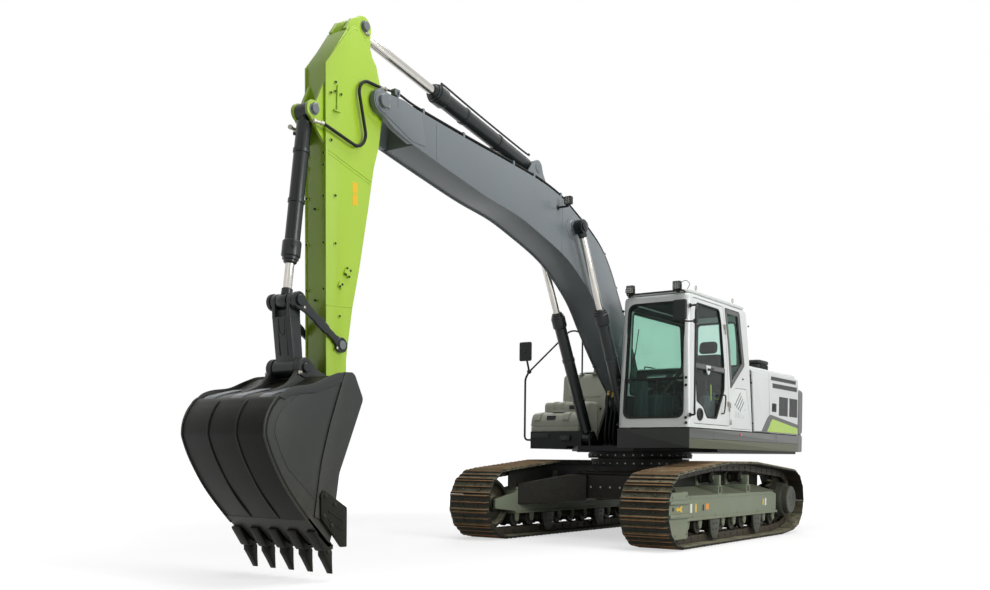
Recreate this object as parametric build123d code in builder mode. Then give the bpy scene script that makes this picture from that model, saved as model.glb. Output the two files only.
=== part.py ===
from build123d import *
import math
import os

# Crawler excavator, about 22 tonnes: separate named parts, millimetres.
# Frame: X forward, Y to the left, Z up; the origin is on the ground under the swing axis.

os.makedirs("parts", exist_ok=True)

# ---------------------------------------------------------------- driving dimensions
tumbler_half = 1825.0        # idler and sprocket are this far ahead of and behind the swing axis
track_y = 1190.0             # centre of each track
shoe_w = 600.0
shoe_count = 49
grouser_h = 26.0
shoe_t = 10.0
link_h = 95.0
idler_z = 440.0
sprocket_z = 470.0
carrier_z = 795.0
roller_z = 230.0
roller_r = 97.0
carrier_r = 72.0
roller_x = [1371.0, 1021.0, 671.0, 320.0, -30.0, -380.0, -731.0, -1081.0, -1431.0]
carrier_x = [500.0, -430.0]
ring_r = 688.0
lower_ring_r = 634.0
ring_z0 = 980.0
ring_z1 = 1027.0
deck_z0 = 1112.0
deck_z1 = 1180.0
skirt_z0 = 1146.0
skirt_z1 = 1386.0
half_w = 1343.0              # half width of the upper structure
skirt_t = 30.0
deck_x0 = -2380.0            # rear edge of deck and skirts
front_x = 1393.0

# pivots of the working equipment, (x, z)
F = (270.0, 1790.0)          # boom foot
G = (880.0, 1290.0)          # boom cylinder base
K = (2140.0, 3670.0)         # boom cylinder rod on the boom
P = (5435.0, 4155.0)         # boom tip and arm
H = (2760.0, 4225.0)         # arm cylinder base
N = (5580.0, 4780.0)         # arm cylinder rod on the arm
A = (5890.0, 1957.0)         # side links on the arm
B = (5905.0, 1530.0)         # bucket hinge
Q = (6345.0, 1727.0)         # link on the bucket
R = (6386.0, 2275.0)         # bucket cylinder rod, side links and link
S = (6180.0, 3890.0)         # bucket cylinder base

boom_hw = 195.0
arm_hw = 125.0
bucket_hw = 480.0
boom_cyl_y = 300.0
pin_gap = 0.4
pin_sides = 12               # flats of pins, bosses, drums and rings
boss_sides = 16
drum_sides = 18
ring_sides = 32
seat_gap = 0.3               # between a piece and the face that carries it


# ---------------------------------------------------------------- helpers
def plate(points, y0, y1, mode=Mode.ADD, grow=0.0):
    """Plate with an outline in x and z, from y0 to y1; grow moves the outline out."""
    plane = Plane(origin=(0, y1, 0), x_dir=(1, 0, 0), z_dir=(0, -1, 0))
    with BuildSketch(plane) as sk:
        with BuildLine():
            Polyline(*points, close=True)
        make_face()
        if grow:
            offset(amount=grow, kind=Kind.INTERSECTION, mode=Mode.REPLACE)
    extrude(sk.sketch, amount=y1 - y0, mode=mode)


def slab(points, z0, z1, mode=Mode.ADD):
    """Slab with an outline in x and y, from z0 to z1."""
    with BuildSketch(Plane.XY.offset(z0)) as sk:
        with BuildLine():
            Polyline(*points, close=True)
        make_face()
    extrude(sk.sketch, amount=z1 - z0, mode=mode)


def front_plate(points, x0, x1, mode=Mode.ADD, grow=0.0):
    """Plate with an outline in y and z, from x0 to x1; grow moves the outline out."""
    plane = Plane(origin=(x0, 0, 0), x_dir=(0, 1, 0), z_dir=(1, 0, 0))
    with BuildSketch(plane) as sk:
        with BuildLine():
            Polyline(*points, close=True)
        make_face()
        if grow:
            offset(amount=grow, kind=Kind.INTERSECTION, mode=Mode.REPLACE)
    extrude(sk.sketch, amount=x1 - x0, mode=mode)


def block(x0, x1, y0, y1, z0, z1, mode=Mode.ADD):
    """Box between two corners."""
    with Locations(((x0 + x1) / 2, (y0 + y1) / 2, (z0 + z1) / 2)):
        Box(x1 - x0, y1 - y0, z1 - z0, mode=mode)


def facets(r):
    """Number of flat sides that stand for a round bar of radius r."""
    for limit, sides in ((20, 6), (60, pin_sides), (120, boss_sides), (400, drum_sides)):
        if r < limit:
            return sides
    return ring_sides


def rod_y(x, z, r, y0, y1, mode=Mode.ADD, sides=0, turn=0):
    """Round bar along Y."""
    plane = Plane(origin=(x, y1, z), x_dir=(1, 0, 0), z_dir=(0, -1, 0))
    with BuildSketch(plane) as sk:
        RegularPolygon(r, sides or facets(r), rotation=turn)
    extrude(sk.sketch, amount=y1 - y0, mode=mode)


def pin_y(x, z, r, y0, y1, mode=Mode.ADD):
    """Truly round pin or hole along Y, for the pivots."""
    with Locations((x, (y0 + y1) / 2, z)):
        Cylinder(r, y1 - y0, rotation=(90, 0, 0), mode=mode)


def rod_z(x, y, r, z0, z1, mode=Mode.ADD):
    """Round bar along Z."""
    with BuildSketch(Plane(origin=(x, y, z0))) as sk:
        RegularPolygon(r, facets(r))
    extrude(sk.sketch, amount=z1 - z0, mode=mode)


def bar(p, q, r, sides=0, mode=Mode.ADD):
    """Round bar from point p to point q."""
    d = Vector(*q) - Vector(*p)
    with BuildSketch(Plane(origin=p, z_dir=d)) as sk:
        RegularPolygon(r, sides or facets(r))
    extrude(sk.sketch, amount=d.length, mode=mode)


def pipe_run(points, r, sides=6):
    """Bent tube with flat sides and mitred corners along the points."""
    with BuildLine() as route:
        Polyline(*points)
    d = Vector(*points[1]) - Vector(*points[0])
    with BuildSketch(Plane(origin=points[0], z_dir=d)) as sk:
        RegularPolygon(r, sides)
    sweep(sections=sk.sketch, path=route.line, transition=Transition.RIGHT)


def along(p, q, s, y):
    """Point at distance s from pivot p towards pivot q, at height y across."""
    d = math.hypot(q[0] - p[0], q[1] - p[1])
    return (p[0] + (q[0] - p[0]) * s / d, y, p[1] + (q[1] - p[1]) * s / d)


def arc(cx, cz, r, a0, a1, n):
    """Points on an arc, angles in degrees."""
    out = []
    for i in range(n + 1):
        t = math.radians(a0 + (a1 - a0) * i / n)
        out.append((cx + r * math.cos(t), cz + r * math.sin(t)))
    return out


def save(part, name):
    part.label = name
    export_step(part, "parts/" + name + ".step")


# ---------------------------------------------------------------- track path
def hull_path():
    """Closed belt around idler, sprocket, carrier rollers and bottom rollers."""
    bottom = roller_r + seat_gap + link_h + shoe_t
    circles = [(tumbler_half, idler_z, idler_z - grouser_h)]
    circles.append((-tumbler_half, sprocket_z, 409.0))
    for x in carrier_x:
        circles.append((x, carrier_z, carrier_r + 2 + link_h + shoe_t))
    for x in (roller_x[0], roller_x[-1]):
        circles.append((x, roller_z, bottom))
    pts = []
    for cx, cz, r in circles:
        for i in range(720):
            t = math.radians(i / 2)
            pts.append((cx + r * math.cos(t), cz + r * math.sin(t)))
    pts = sorted(set(pts))

    def half(seq):
        out = []
        for p in seq:
            while len(out) > 1:
                ax, az = out[-2]
                bx, bz = out[-1]
                if (bx - ax) * (p[1] - az) - (bz - az) * (p[0] - ax) > 0:
                    break
                out.pop()
            out.append(p)
        return out

    low = half(pts)
    high = half(pts[::-1])
    return low[:-1] + high[:-1]


path = hull_path()
seg = []
total = 0.0
for i in range(len(path)):
    ax, az = path[i]
    bx, bz = path[(i + 1) % len(path)]
    step = math.hypot(bx - ax, bz - az)
    seg.append((total, step, ax, az, bx, bz))
    total += step
pitch = total / shoe_count
belt_phase = 0.1             # share of a pitch by which the shoes are moved on


def at(s, inward):
    """Point at distance s along the belt, moved inward."""
    s = (s + belt_phase * pitch) % total
    for s0, step, ax, az, bx, bz in seg:
        if s0 <= s <= s0 + step:
            u = (s - s0) / step
            tx = (bx - ax) / step
            tz = (bz - az) / step
            return (ax + (bx - ax) * u - tz * inward, az + (bz - az) * u + tx * inward)
    return path[0]


def shoe_line(frac, inward, k):
    """Point on the flat plate of shoe k, which spans the belt between its two ends."""
    p = at(k * pitch, 0)
    q = at((k + 1) * pitch, 0)
    d = math.hypot(q[0] - p[0], q[1] - p[1])
    tx = (q[0] - p[0]) / d
    tz = (q[1] - p[1]) / d
    return (p[0] + tx * d * frac - tz * inward, p[1] + tz * d * frac + tx * inward)


def thin(points):
    """Closed outline without the points that lie on a straight stretch."""
    out = list(points)
    k = 0
    while k < len(out):
        a = out[k - 1]
        b = out[k]
        c = out[(k + 1) % len(out)]
        area = (b[0] - a[0]) * (c[1] - a[1]) - (b[1] - a[1]) * (c[0] - a[0])
        if abs(area) < 0.05 * math.hypot(c[0] - a[0], c[1] - a[1]):
            out.pop(k)
        else:
            k += 1
    return out


shoe_outline = []
for k in range(shoe_count):
    for frac, h in ((0, 0), (0.08, grouser_h), (0.18, 0), (0.42, 0), (0.50, grouser_h),
                    (0.58, 0), (0.82, 0), (0.92, grouser_h)):
        shoe_outline.append(shoe_line(frac, -h, k))
shoe_outline = thin(shoe_outline)
inner_outline = thin([at(k * pitch, shoe_t) for k in range(shoe_count)])
rail_outer = thin([at(k * pitch, shoe_t + seat_gap) for k in range(shoe_count)])
rail_inner = thin([at(k * pitch, shoe_t + link_h) for k in range(shoe_count)])

for side, name in ((1, "left"), (-1, "right")):
    with BuildPart() as track:
        plate(shoe_outline, side * track_y - shoe_w / 2, side * track_y + shoe_w / 2)
        plate(inner_outline, side * track_y - shoe_w / 2 - 1, side * track_y + shoe_w / 2 + 1,
              mode=Mode.SUBTRACT)
    save(track.part, "track_" + name)

with BuildPart() as track_chains:
    for side in (1, -1):
        for lane in (-85, 85):
            y0 = side * track_y + lane - 17
            y1 = side * track_y + lane + 17
            with BuildPart(mode=Mode.PRIVATE) as rail:
                plate(rail_outer, y0, y1)
                plate(rail_inner, y0 - 1, y1 + 1, mode=Mode.SUBTRACT)
            add(rail.part)
save(track_chains.part, "track_chains")

# ---------------------------------------------------------------- rollers, idlers, sprockets
fork_y = 125.0               # idler fork arms and roller strips, off the track centre
strip_y = 114.0
idler_r = idler_z - grouser_h - shoe_t - link_h - 20
with BuildPart() as idlers:
    for side in (1, -1):
        y = side * track_y
        rod_y(tumbler_half, idler_z, idler_r, y - 104, y + 104)
        rod_y(tumbler_half, idler_z, idler_r + 34, y - 62, y + 62)
        rod_y(tumbler_half, idler_z, 55, y - fork_y + seat_gap, y + fork_y - seat_gap)
save(idlers.part, "idlers")

with BuildPart() as track_rollers:
    for side in (1, -1):
        for x in roller_x:
            rod_y(x, roller_z, roller_r, side * track_y - strip_y + seat_gap,
                  side * track_y + strip_y - seat_gap, sides=10, turn=18)
save(track_rollers.part, "track_rollers")

with BuildPart() as carrier_rollers:
    for side in (1, -1):
        for x in carrier_x:
            y0 = side * (track_y - 112 + seat_gap)
            y1 = side * (track_y + 70)
            rod_y(x, carrier_z, carrier_r - 4, min(y0, y1), max(y0, y1), sides=pin_sides)
save(carrier_rollers.part, "carrier_rollers")

teeth = []
for i in range(21):
    for da, r in ((-0.28, 300), (0, 350), (0.28, 300)):
        t = (i + da) * 2 * math.pi / 21
        teeth.append((-tumbler_half + r * math.cos(t), sprocket_z + r * math.sin(t)))
with BuildPart() as sprockets:
    for side in (1, -1):
        plate(teeth, side * track_y - 30, side * track_y + 30)
        rod_y(-tumbler_half, sprocket_z, 240, side * track_y - 30, side * track_y + 30,
              mode=Mode.SUBTRACT)
save(sprockets.part, "sprockets")

with BuildPart() as final_drives:
    for side in (1, -1):
        a = side * (track_y - 135 + seat_gap)
        b = side * (track_y + 180)
        rod_y(-tumbler_half, sprocket_z, 239, min(a, b), max(a, b))
        c = side * (track_y + 260)
        rod_y(-tumbler_half, sprocket_z, 195, min(b, c), max(b, c))
save(final_drives.part, "final_drives")

# ---------------------------------------------------------------- track frames
frame_side = [(1450, 300), (1450, 600), (-1300, 600), (-1468, 560), (-1468, 300)]
for side, name in ((1, "left"), (-1, "right")):
    with BuildPart() as frame:
        y_in = side * (track_y - 165)
        y_out = side * (track_y + 165)
        lo = min(y_in, y_out)
        hi = max(y_in, y_out)
        plate(frame_side, lo, hi)
        # lower flange over the rollers
        block(-1495, 1460, lo - 12, hi + 12, 300, 336)
        block(-1550, 1480, side * track_y - strip_y, side * track_y + strip_y, 290, 331,
              mode=Mode.SUBTRACT)
        # oval hole in the outer face
        wall = side * (track_y + 120)
        block(985, 1035, min(wall, y_out) - 1, max(wall, y_out) + 1, 415, 480,
              mode=Mode.SUBTRACT)
        for z in (415, 480):
            rod_y(1010, z, 25, min(wall, y_out) - 1, max(wall, y_out) + 1,
                  mode=Mode.SUBTRACT)
        # idler fork: two arms with the idler guard plate on the outer one
        for sgn in (-1, 1):
            ya = side * track_y + sgn * fork_y
            yb = side * track_y + sgn * 165
            plate([(1440, 330), (1900, 380), (1900, 500), (1440, 580)],
                  min(ya, yb), max(ya, yb))
        yo = side * (track_y + 160)
        yp = side * (track_y + 215)
        guard = [(1540, 112), (1930, 112), (2030, 250), (2080, 400), (2080, 540),
                 (2000, 640), (1545, 650)]
        plate(guard, min(yo, yp), max(yo, yp))
        for z in (375, 530):
            yq = side * (track_y + 250)
            block(1550, 2070, min(yp, yq), max(yp, yq), z - 22, z + 22)
        pin_y(1932, 453, 24, min(yo, yp) - 1, max(yo, yp) + 1, mode=Mode.SUBTRACT)
        # bracket behind for the final drive, inside the sprocket
        ya = side * (track_y - 185)
        yb = side * (track_y - 135)
        plate([(-1400, 310), (-1400, 600)] + arc(-tumbler_half, sprocket_z, 215, 75, 285, 8),
              min(ya, yb), max(ya, yb))
        # roller side strips that carry the bottom rollers
        for sgn in (-1, 1):
            ya = side * track_y + sgn * strip_y
            yb = side * track_y + sgn * 140
            for x in roller_x:
                if sgn == side:
                    block(x - 45, x + 45, min(ya, yb), max(ya, yb), 195, 310)
            if sgn != side:
                block(roller_x[-1] - 45, roller_x[0] + 45, min(ya, yb), max(ya, yb), 195, 310)
        # supports of the carrier rollers
        for x in carrier_x:
            ya = side * (track_y - 165)
            yb = side * (track_y - 112)
            block(x - 60, x + 60, min(ya, yb), max(ya, yb), 590, 860)
            yc = side * (track_y + 165)
            block(x - 65, x + 65, min(ya, yc), max(ya, yc), 595, 700)
            block(x - 22, x + 22, min(side * (track_y + 74), yc), max(side * (track_y + 74), yc),
                  690, 830)
    save(frame.part, "track_frame_" + name)

with BuildPart() as track_guards:
    for side in (1, -1):
        for x in (roller_x[2], roller_x[6]):
            for sgn in (-1, 1):
                ya = side * track_y + sgn * 146
                yb = side * track_y + sgn * 176
                plate([(x - 150, 300 - seat_gap), (x + 150, 300 - seat_gap), (x + 110, 120), (x + 60, 60),
                       (x - 60, 60), (x - 110, 120)], min(ya, yb), max(ya, yb))
save(track_guards.part, "track_guards")

# ---------------------------------------------------------------- carbody with X legs
with BuildPart() as carbody:
    octo = [(820, 560), (560, 800), (-560, 800), (-820, 560), (-820, -560), (-560, -800),
            (560, -800), (820, -560)]
    slab(octo, 520, 800)
    rod_z(0, 0, lower_ring_r - 30, 790, 936 - seat_gap)
    for sx in (1, -1):
        for sy in (1, -1):
            leg_y = track_y - 165 - seat_gap
            leg = [(sx * 300, sy * 640), (sx * 800, sy * 420), (sx * 1350, sy * leg_y),
                   (sx * 700, sy * leg_y)]
            if sx * sy < 0:
                leg = leg[::-1]
            slab(leg, 430, 690)
            slab([(sx * 300, sy * 560), (sx * 780, sy * 400), (sx * 1040, sy * 700),
                  (sx * 470, sy * 780)][::1 if sx * sy > 0 else -1], 680, 770)
save(carbody.part, "carbody")

with BuildPart() as swing_ring_lower:
    with Locations((0, 0, (937 + ring_z0) / 2)):
        Cylinder(lower_ring_r, ring_z0 - 935)
    rod_z(0, 0, lower_ring_r + 18, ring_z0, ring_z1 - 6)
    rod_z(0, 0, 560, ring_z1 - 8, ring_z1 - seat_gap)
    rod_z(0, 0, 480, 925, ring_z1, mode=Mode.SUBTRACT)
save(swing_ring_lower.part, "swing_ring_lower")

with BuildPart() as swing_ring_upper:
    with Locations((0, 0, (ring_z1 + deck_z0) / 2)):
        Cylinder(ring_r, deck_z0 - ring_z1)
    rod_z(0, 0, 480, ring_z1 - 1, deck_z0 + 1, mode=Mode.SUBTRACT)
save(swing_ring_upper.part, "swing_ring_upper")

# ---------------------------------------------------------------- upper frame
deck_hw = half_w - skirt_t - seat_gap
cab_z0 = 1391.0
with BuildPart() as main_frame:
    slab([(960, -400), (960, 400), (500, 760), (500, deck_hw), (deck_x0, deck_hw),
          (deck_x0, -deck_hw), (-560 - seat_gap, -deck_hw), (-560 - seat_gap, -760),
          (500, -760)], deck_z0, deck_z1)
    cheek = [(-1250, 1170), (700, 1170), (640, 1330), (420, 1700)]
    cheek += arc(F[0], F[1], 150, 0, 180, 6)
    cheek += [(-300, 1560), (-1250, 1420)]
    for side in (1, -1):
        a = side * 275
        b = side * 310
        plate(cheek, min(a, b), max(a, b))
        for c, d in ((222, 247), (353, 378)):
            e = side * c
            f = side * d
            plate([(720, 1170), (950, 1170)] + arc(G[0], G[1], 82, -10, 150, 4),
                  min(e, f), max(e, f))
    for side in (1, -1):
        rod_y(G[0], G[1], 45, *sorted((side * 214, side * 386)))
    rod_y(F[0], F[1], 55, -330, 330)
    # rear mounts of the cab
    for y in (540, 1200):
        rod_z(-450, y, 45, deck_z1 - 1, cab_z0 - seat_gap)
save(main_frame.part, "main_frame")

with BuildPart() as deck_right:
    block(-560, 640, -half_w + 6, -760 - seat_gap, 1146, deck_z1)
    block(600, 640, -half_w + 6, -560, deck_z1 + seat_gap, 1378)
    block(600, 640, -half_w + 6, -760 - seat_gap, 1146, deck_z1 + 2)
    block(-560, 640, -half_w + 6, -half_w + 46, deck_z1 - 1, 1378)
save(deck_right.part, "deck_right")

with BuildPart() as skirts:
    # left side under the cab and engine side, with a corner round the front
    inner = half_w - skirt_t
    left = [(front_x, 402), (front_x, half_w), (deck_x0, half_w), (deck_x0, inner),
            (front_x - skirt_t, inner), (front_x - skirt_t, 402)]
    slab(left, skirt_z0, skirt_z1 - 6)
    slab([(-560, -half_w), (deck_x0, -half_w), (deck_x0, -inner), (-560, -inner)],
         skirt_z0, skirt_z1 - 6)
    # floor under the cab and its front mounts
    slab([(front_x - skirt_t, 402), (front_x - skirt_t, inner), (500 + seat_gap, inner),
          (500 + seat_gap, 760 + seat_gap), (960 + seat_gap, 402)], deck_z0 + 40, deck_z0 + 64)
    for y in (540, 1200):
        rod_z(1200, y, 45, deck_z0 + 63, cab_z0 - seat_gap)
save(skirts.part, "skirts")

# counterweight with rounded back corners
cw_x = deck_x0 - seat_gap
cw = [(cw_x, -half_w), (cw_x, half_w), (-2560, half_w), (-2640, 1290), (-2760, 1060),
      (-2840, 760), (-2875, 380), (-2885, 0), (-2875, -380), (-2840, -760), (-2760, -1060),
      (-2640, -1290), (-2560, -half_w)]
with BuildPart() as counterweight:
    slab(cw, skirt_z0, 2060)
    chamfer(counterweight.faces().sort_by(Axis.Z)[-1].edges().filter_by(
        lambda e: e.center().X < -2500), length=70)
save(counterweight.part, "counterweight")

# ---------------------------------------------------------------- engine housing
with BuildPart() as engine_block:
    block(-2300, -1300, -560, 560, deck_z1 + seat_gap, 1980)
save(engine_block.part, "engine_block")

with BuildPart() as side_door_left:
    plate([(-660, 1392), (-1226, 1392), (-1150, 2190), (-562, 2190)], 1306, half_w)
save(side_door_left.part, "side_panel_left_front")

door_x0 = deck_x0 + 5        # rear edge of both engine side doors
door_hinge_x = door_x0 + 12
door_hinge_y = half_w - 12
door_rear = [(-2320, 2190), (door_x0, 2060), (door_x0, 1392)]


def door_edge(side):
    """Rounded rear edge of a side door and the pintle that stands on the skirt."""
    y0, y1 = sorted((side * (half_w - 24), side * (half_w + 10)))
    block(door_x0 - 1, door_hinge_x, y0, y1, 1300, 2300, mode=Mode.SUBTRACT)
    y0, y1 = sorted((side * (half_w - 37), side * (half_w - 12)))
    block(door_x0, door_hinge_x + 1, y0, y1, 1392, 2050)
    rod_z(door_hinge_x, side * door_hinge_y, 12, 1392, 2050)
    rod_z(door_hinge_x, side * door_hinge_y, 8, skirt_z1 - 6 + seat_gap, 1393)


with BuildPart() as grille_door_left:
    plate([(-1232, 1392)] + door_rear[::-1] + [(-1156, 2190)], 1306, half_w)
    door_edge(1)
    for x0, x1, z0, z1 in ((-1230, -2260, 2112, 2165), (-1290, -2310, 2010, 2075),
                           (-1560, -1935, 1640, 1905), (-1985, -2340, 1640, 1905)):
        block(x1, x0, half_w - 14, half_w + 1, z0, z1, mode=Mode.SUBTRACT)
save(grille_door_left.part, "side_door_left")

with BuildPart() as grilles:
    for x0, x1, z0, z1 in ((-1230, -2260, 2112, 2165), (-1290, -2310, 2010, 2075),
                           (-1560, -1935, 1640, 1905), (-1985, -2340, 1640, 1905)):
        block(x1 + 1, x0 - 1, half_w - 13.5, half_w - 5, z0 + 1, z1 - 1)
save(grilles.part, "grilles")

with BuildPart() as side_door_right:
    plate([(-700, 1392)] + door_rear[::-1] + [(-700, 2190)], -half_w, -1306)
    door_edge(-1)
save(side_door_right.part, "side_door_right")

hood_z = 2196.0              # lower edge of the hood
hood_hinge_z = hood_z + 4
hood_pin_r = 7.0
with BuildPart() as hood_frame:
    for side in (1, -1):
        # sill, then the bracket under the hood's hinge and the rest under its front rim
        y0, y1 = sorted((side * 1240, side * 1298))
        block(-2370, -600, y0, y1, deck_z1 + seat_gap, 1386)
        block(-700, -664, y0, y1, 1385, 1541)
        block(-2370, -2330, y0, y1, 1385, 1401)
        y0, y1 = sorted((side * 1272, side * 1298))
        block(-700, -664, y0, y1, 2149, hood_z - seat_gap)
        y0, y1 = sorted((side * 640, side * 720))
        block(-2370, -2305, y0, y1, 2053, hood_z - seat_gap)
        pin_y(-2320, hood_hinge_z, hood_pin_r + pin_gap, y0 - 1, y1 + 1, mode=Mode.SUBTRACT)
    block(-2370, -2330, -1298, 1298, 1400, 2054)
    block(-700, -664, -1298, 1298, 1540, 2150)
    block(-700, -664, 1297, 1306 - seat_gap, 1540, 2150)
save(hood_frame.part, "hood_frame")

with BuildPart() as engine_hood:
    front_plate([(-1300, hood_z), (-1300, 2215), (-1180, 2275), (1180, 2275), (1300, 2215),
                 (1300, hood_z), (1270, hood_z), (1165, 2250), (-1165, 2250),
                 (-1270, hood_z)], -2320, -560)
    under = [(-1270, hood_z), (-1165, 2250), (1165, 2250), (1270, hood_z)]
    front_plate(under, -2320, -2300)
    front_plate(under, -580, -560)
    for side in (1, -1):
        rod_y(-2320, hood_hinge_z, hood_pin_r, *sorted((side * 600, side * 760)))
save(engine_hood.part, "engine_hood")

with BuildPart() as precleaner:
    block(-2130, -1710, 690, 1010, 2275 + seat_gap, 2300)
    block(-2110, -1730, 710, 990, 2299, 2455)
    chamfer(precleaner.faces().sort_by(Axis.Z)[-1].edges(), length=30)
save(precleaner.part, "precleaner")

# ---------------------------------------------------------------- tanks and boxes
with BuildPart() as hydraulic_tank:
    plate([(-540, deck_z1 + seat_gap), (90, deck_z1 + seat_gap), (90, 1840), (60, 2188),
           (-540, 2188)], -1180, -470)
    chamfer(hydraulic_tank.edges().filter_by(Axis.X).sort_by(Axis.Z)[-2:], length=45)
    rod_z(0, -640, 75, 2187, 2270)
save(hydraulic_tank.part, "hydraulic_tank")

with BuildPart() as tank_cap:
    rod_z(0, -640, 88, 2270.5, 2300)
save(tank_cap.part, "breather_cap")

with BuildPart() as fuel_tank:
    block(100, 380, -1290, -590, deck_z1 + seat_gap, 1790)
    chamfer(fuel_tank.edges().filter_by(Axis.Y).sort_by(Axis.Z)[-2:], length=40)
save(fuel_tank.part, "fuel_tank")

with BuildPart() as toolbox:
    block(390, 640, -half_w + 8, -575, 1378 + seat_gap, 1446 - seat_gap)
    block(410, 620, -half_w + 28, -595, 1396, 1450, mode=Mode.SUBTRACT)
save(toolbox.part, "toolbox")

lid = [(392, 1446), (392, 1640), (520, 1640), (605, 1610), (640, 1520), (640, 1446)]
with BuildPart() as toolbox_lid:
    plate(lid, -half_w + 8, -575)
    plate(lid, -half_w + 24, -591, mode=Mode.SUBTRACT, grow=-12)
    block(380, 660, -half_w + 24, -591, 1440, 1458.5, mode=Mode.SUBTRACT)
    block(440, 560, -1050, -870, 1639, 1652)
    rod_y(392, 1640, 5, -half_w + 60, -627)
save(toolbox_lid.part, "toolbox_lid")

# ---------------------------------------------------------------- cab
cab_y0 = 398.0
cab_z1 = 2960.0
lean = 50.0                  # how far the cab's left wall leans in at the top
wall_t = 45.0


def cab_section(t):
    """Cab cross-section in y and z, moved inward by t."""
    return [(cab_y0 + t, cab_z0 + t), (half_w - t, cab_z0 + t), (half_w - lean - t, cab_z1 - t),
            (cab_y0 + lean * 0.7 + t, cab_z1 - t)]


def left_strip(out, thick):
    """Layer of the leaning left wall, from its outer face moved in by out."""
    a = half_w - out
    return [(a + lean * 0.1, cab_z0 - 0.1 * (cab_z1 - cab_z0)),
            (a - lean * 1.1, cab_z1 + 0.1 * (cab_z1 - cab_z0)),
            (a - lean * 1.1 - thick, cab_z1 + 0.1 * (cab_z1 - cab_z0)),
            (a + lean * 0.1 - thick, cab_z0 - 0.1 * (cab_z1 - cab_z0))]


cab_side = [(front_x, cab_z0), (1372, 2300), (1330, cab_z1), (-430, cab_z1), (-500, 2544),
            (-540, 2200), (-600, cab_z0)]
door_side = [(1296, 1440), (1296, 2300), (1250, 2905), (350, 2905), (262, 2434), (222, 1839),
             (190, 1440)]
door_glass_up = [(1200, 2140), (1190, 2780), (1120, 2850), (560, 2850), (470, 2800), (330, 2140)]
door_glass_low = [(1200, 2100), (1190, 1700), (1010, 1640), (900, 1510), (600, 1510),
                  (345, 1870), (325, 2100)]
quarter = [(300, 2905), (-180, 2905), (-330, 2230), (150, 1900), (205, 2434)]
access = [(150, 1412), (165, 1780), (-10, 1920), (-370, 1930), (-550, 1412)]
screen = [(560, 1500), (1180, 1500), (1245, 1540), (1262, 1600), (1225, 2790), (1195, 2845),
          (1130, 2862), (590, 2862), (540, 2830), (515, 2760), (480, 1600), (500, 1535)]


def wall_y(z):
    """Outer face of the leaning left wall at height z."""
    return half_w - lean * (z - cab_z0) / (cab_z1 - cab_z0)


def hinge_plane(x0, z0, x1, z1, out):
    """Plane on a hinge axis that leans with the wall, out mm outside it; Z is the axis."""
    p = Vector(x0, wall_y(z0) + out, z0)
    d = (Vector(x1, wall_y(z1) + out, z1) - p).normalized()
    return Plane(origin=p, x_dir=(d.Z, 0, -d.X), z_dir=d)


def knuckle(plane, h0, h1, side, r, out, reach):
    """Half of a hinge from h0 to h1 on the axis: round knuckle and its leaf on one side."""
    mid = (h0 + h1) / 2
    with BuildSketch(plane.offset(h0)) as sk:
        RegularPolygon(r, 8)
    extrude(sk.sketch, amount=h1 - h0)
    with Locations(plane * Location((side * 8, -out + 3, mid))):
        Box(16, 4, h1 - h0)
    with Locations(plane * Location((side * (14 + reach) / 2, -out + 1, mid))):
        Box(reach - 14, 8, h1 - h0)


# hinge axes of the cab door and of the access door, and where their knuckles sit
door_axis = hinge_plane(209, 1680, 299.6, 2635, 9)
access_axis = hinge_plane(153, 1412, 168, 1780, 7)
door_hinges = (0.0, 958.0)
access_hinges = (75.0, 285.0)


def left_window(points, mode, grow, out, thick):
    """Piece of the left wall inside an outline in x and z."""
    with BuildPart(mode=Mode.PRIVATE) as piece:
        plate(points, 1000, 1500, grow=grow)
        front_plate(left_strip(out, thick), -800, 1500, mode=Mode.INTERSECT)
    add(piece.part, mode=mode)


with BuildPart() as cab_shell:
    front_plate(cab_section(0), -700, 1500)
    plate(cab_side, 300, 1400, mode=Mode.INTERSECT)
    with BuildPart(mode=Mode.PRIVATE) as room:
        front_plate(cab_section(wall_t), -700, 1500)
        plate(cab_side, 300, 1400, mode=Mode.INTERSECT, grow=-wall_t)
    add(room.part, mode=Mode.SUBTRACT)
    left_window(door_side, Mode.SUBTRACT, 6, -20, 90)
    left_window(quarter, Mode.SUBTRACT, 0, -20, 90)
    left_window(access, Mode.SUBTRACT, 6, -20, 42)
    front_plate(screen, 1250, 1450, mode=Mode.SUBTRACT)
    # rear window and right window
    front_plate([(560, 2250), (1180, 2250), (1150, 2820), (600, 2820)], -620, -380,
                mode=Mode.SUBTRACT)
    plate([(1180, 1800), (1150, 2800), (-300, 2800), (-380, 2250), (300, 1800)], 380, 500,
          mode=Mode.SUBTRACT)
    for h in door_hinges:
        knuckle(door_axis, h - 60, h - seat_gap / 2, -1, 8, 9, 30)
    for h in access_hinges:
        knuckle(access_axis, h - 32, h - seat_gap / 2, 1, 6, 7, 26)
save(cab_shell.part, "cab_shell")

with BuildPart() as cab_roof:
    block(-425, 1320, 445, 1285, cab_z1 + 0.5, 3003)
    chamfer(cab_roof.faces().sort_by(Axis.Z)[-1].edges(), length=26)
    block(140, 900, 560, 1170, 3002, 3022)
save(cab_roof.part, "cab_roof")

with BuildPart() as cab_door:
    left_window(door_side, Mode.ADD, 0, 0, 40)
    left_window(door_glass_up, Mode.SUBTRACT, 0, -20, 90)
    left_window(door_glass_low, Mode.SUBTRACT, 0, -20, 90)
    for h in door_hinges:
        knuckle(door_axis, h + seat_gap / 2, h + 60, 1, 8, 9, 50)
save(cab_door.part, "cab_door")

with BuildPart() as door_glass:
    left_window(door_glass_up, Mode.ADD, -1, 16, 6)
    left_window(door_glass_low, Mode.ADD, -1, 16, 6)
save(door_glass.part, "door_glass")

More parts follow.
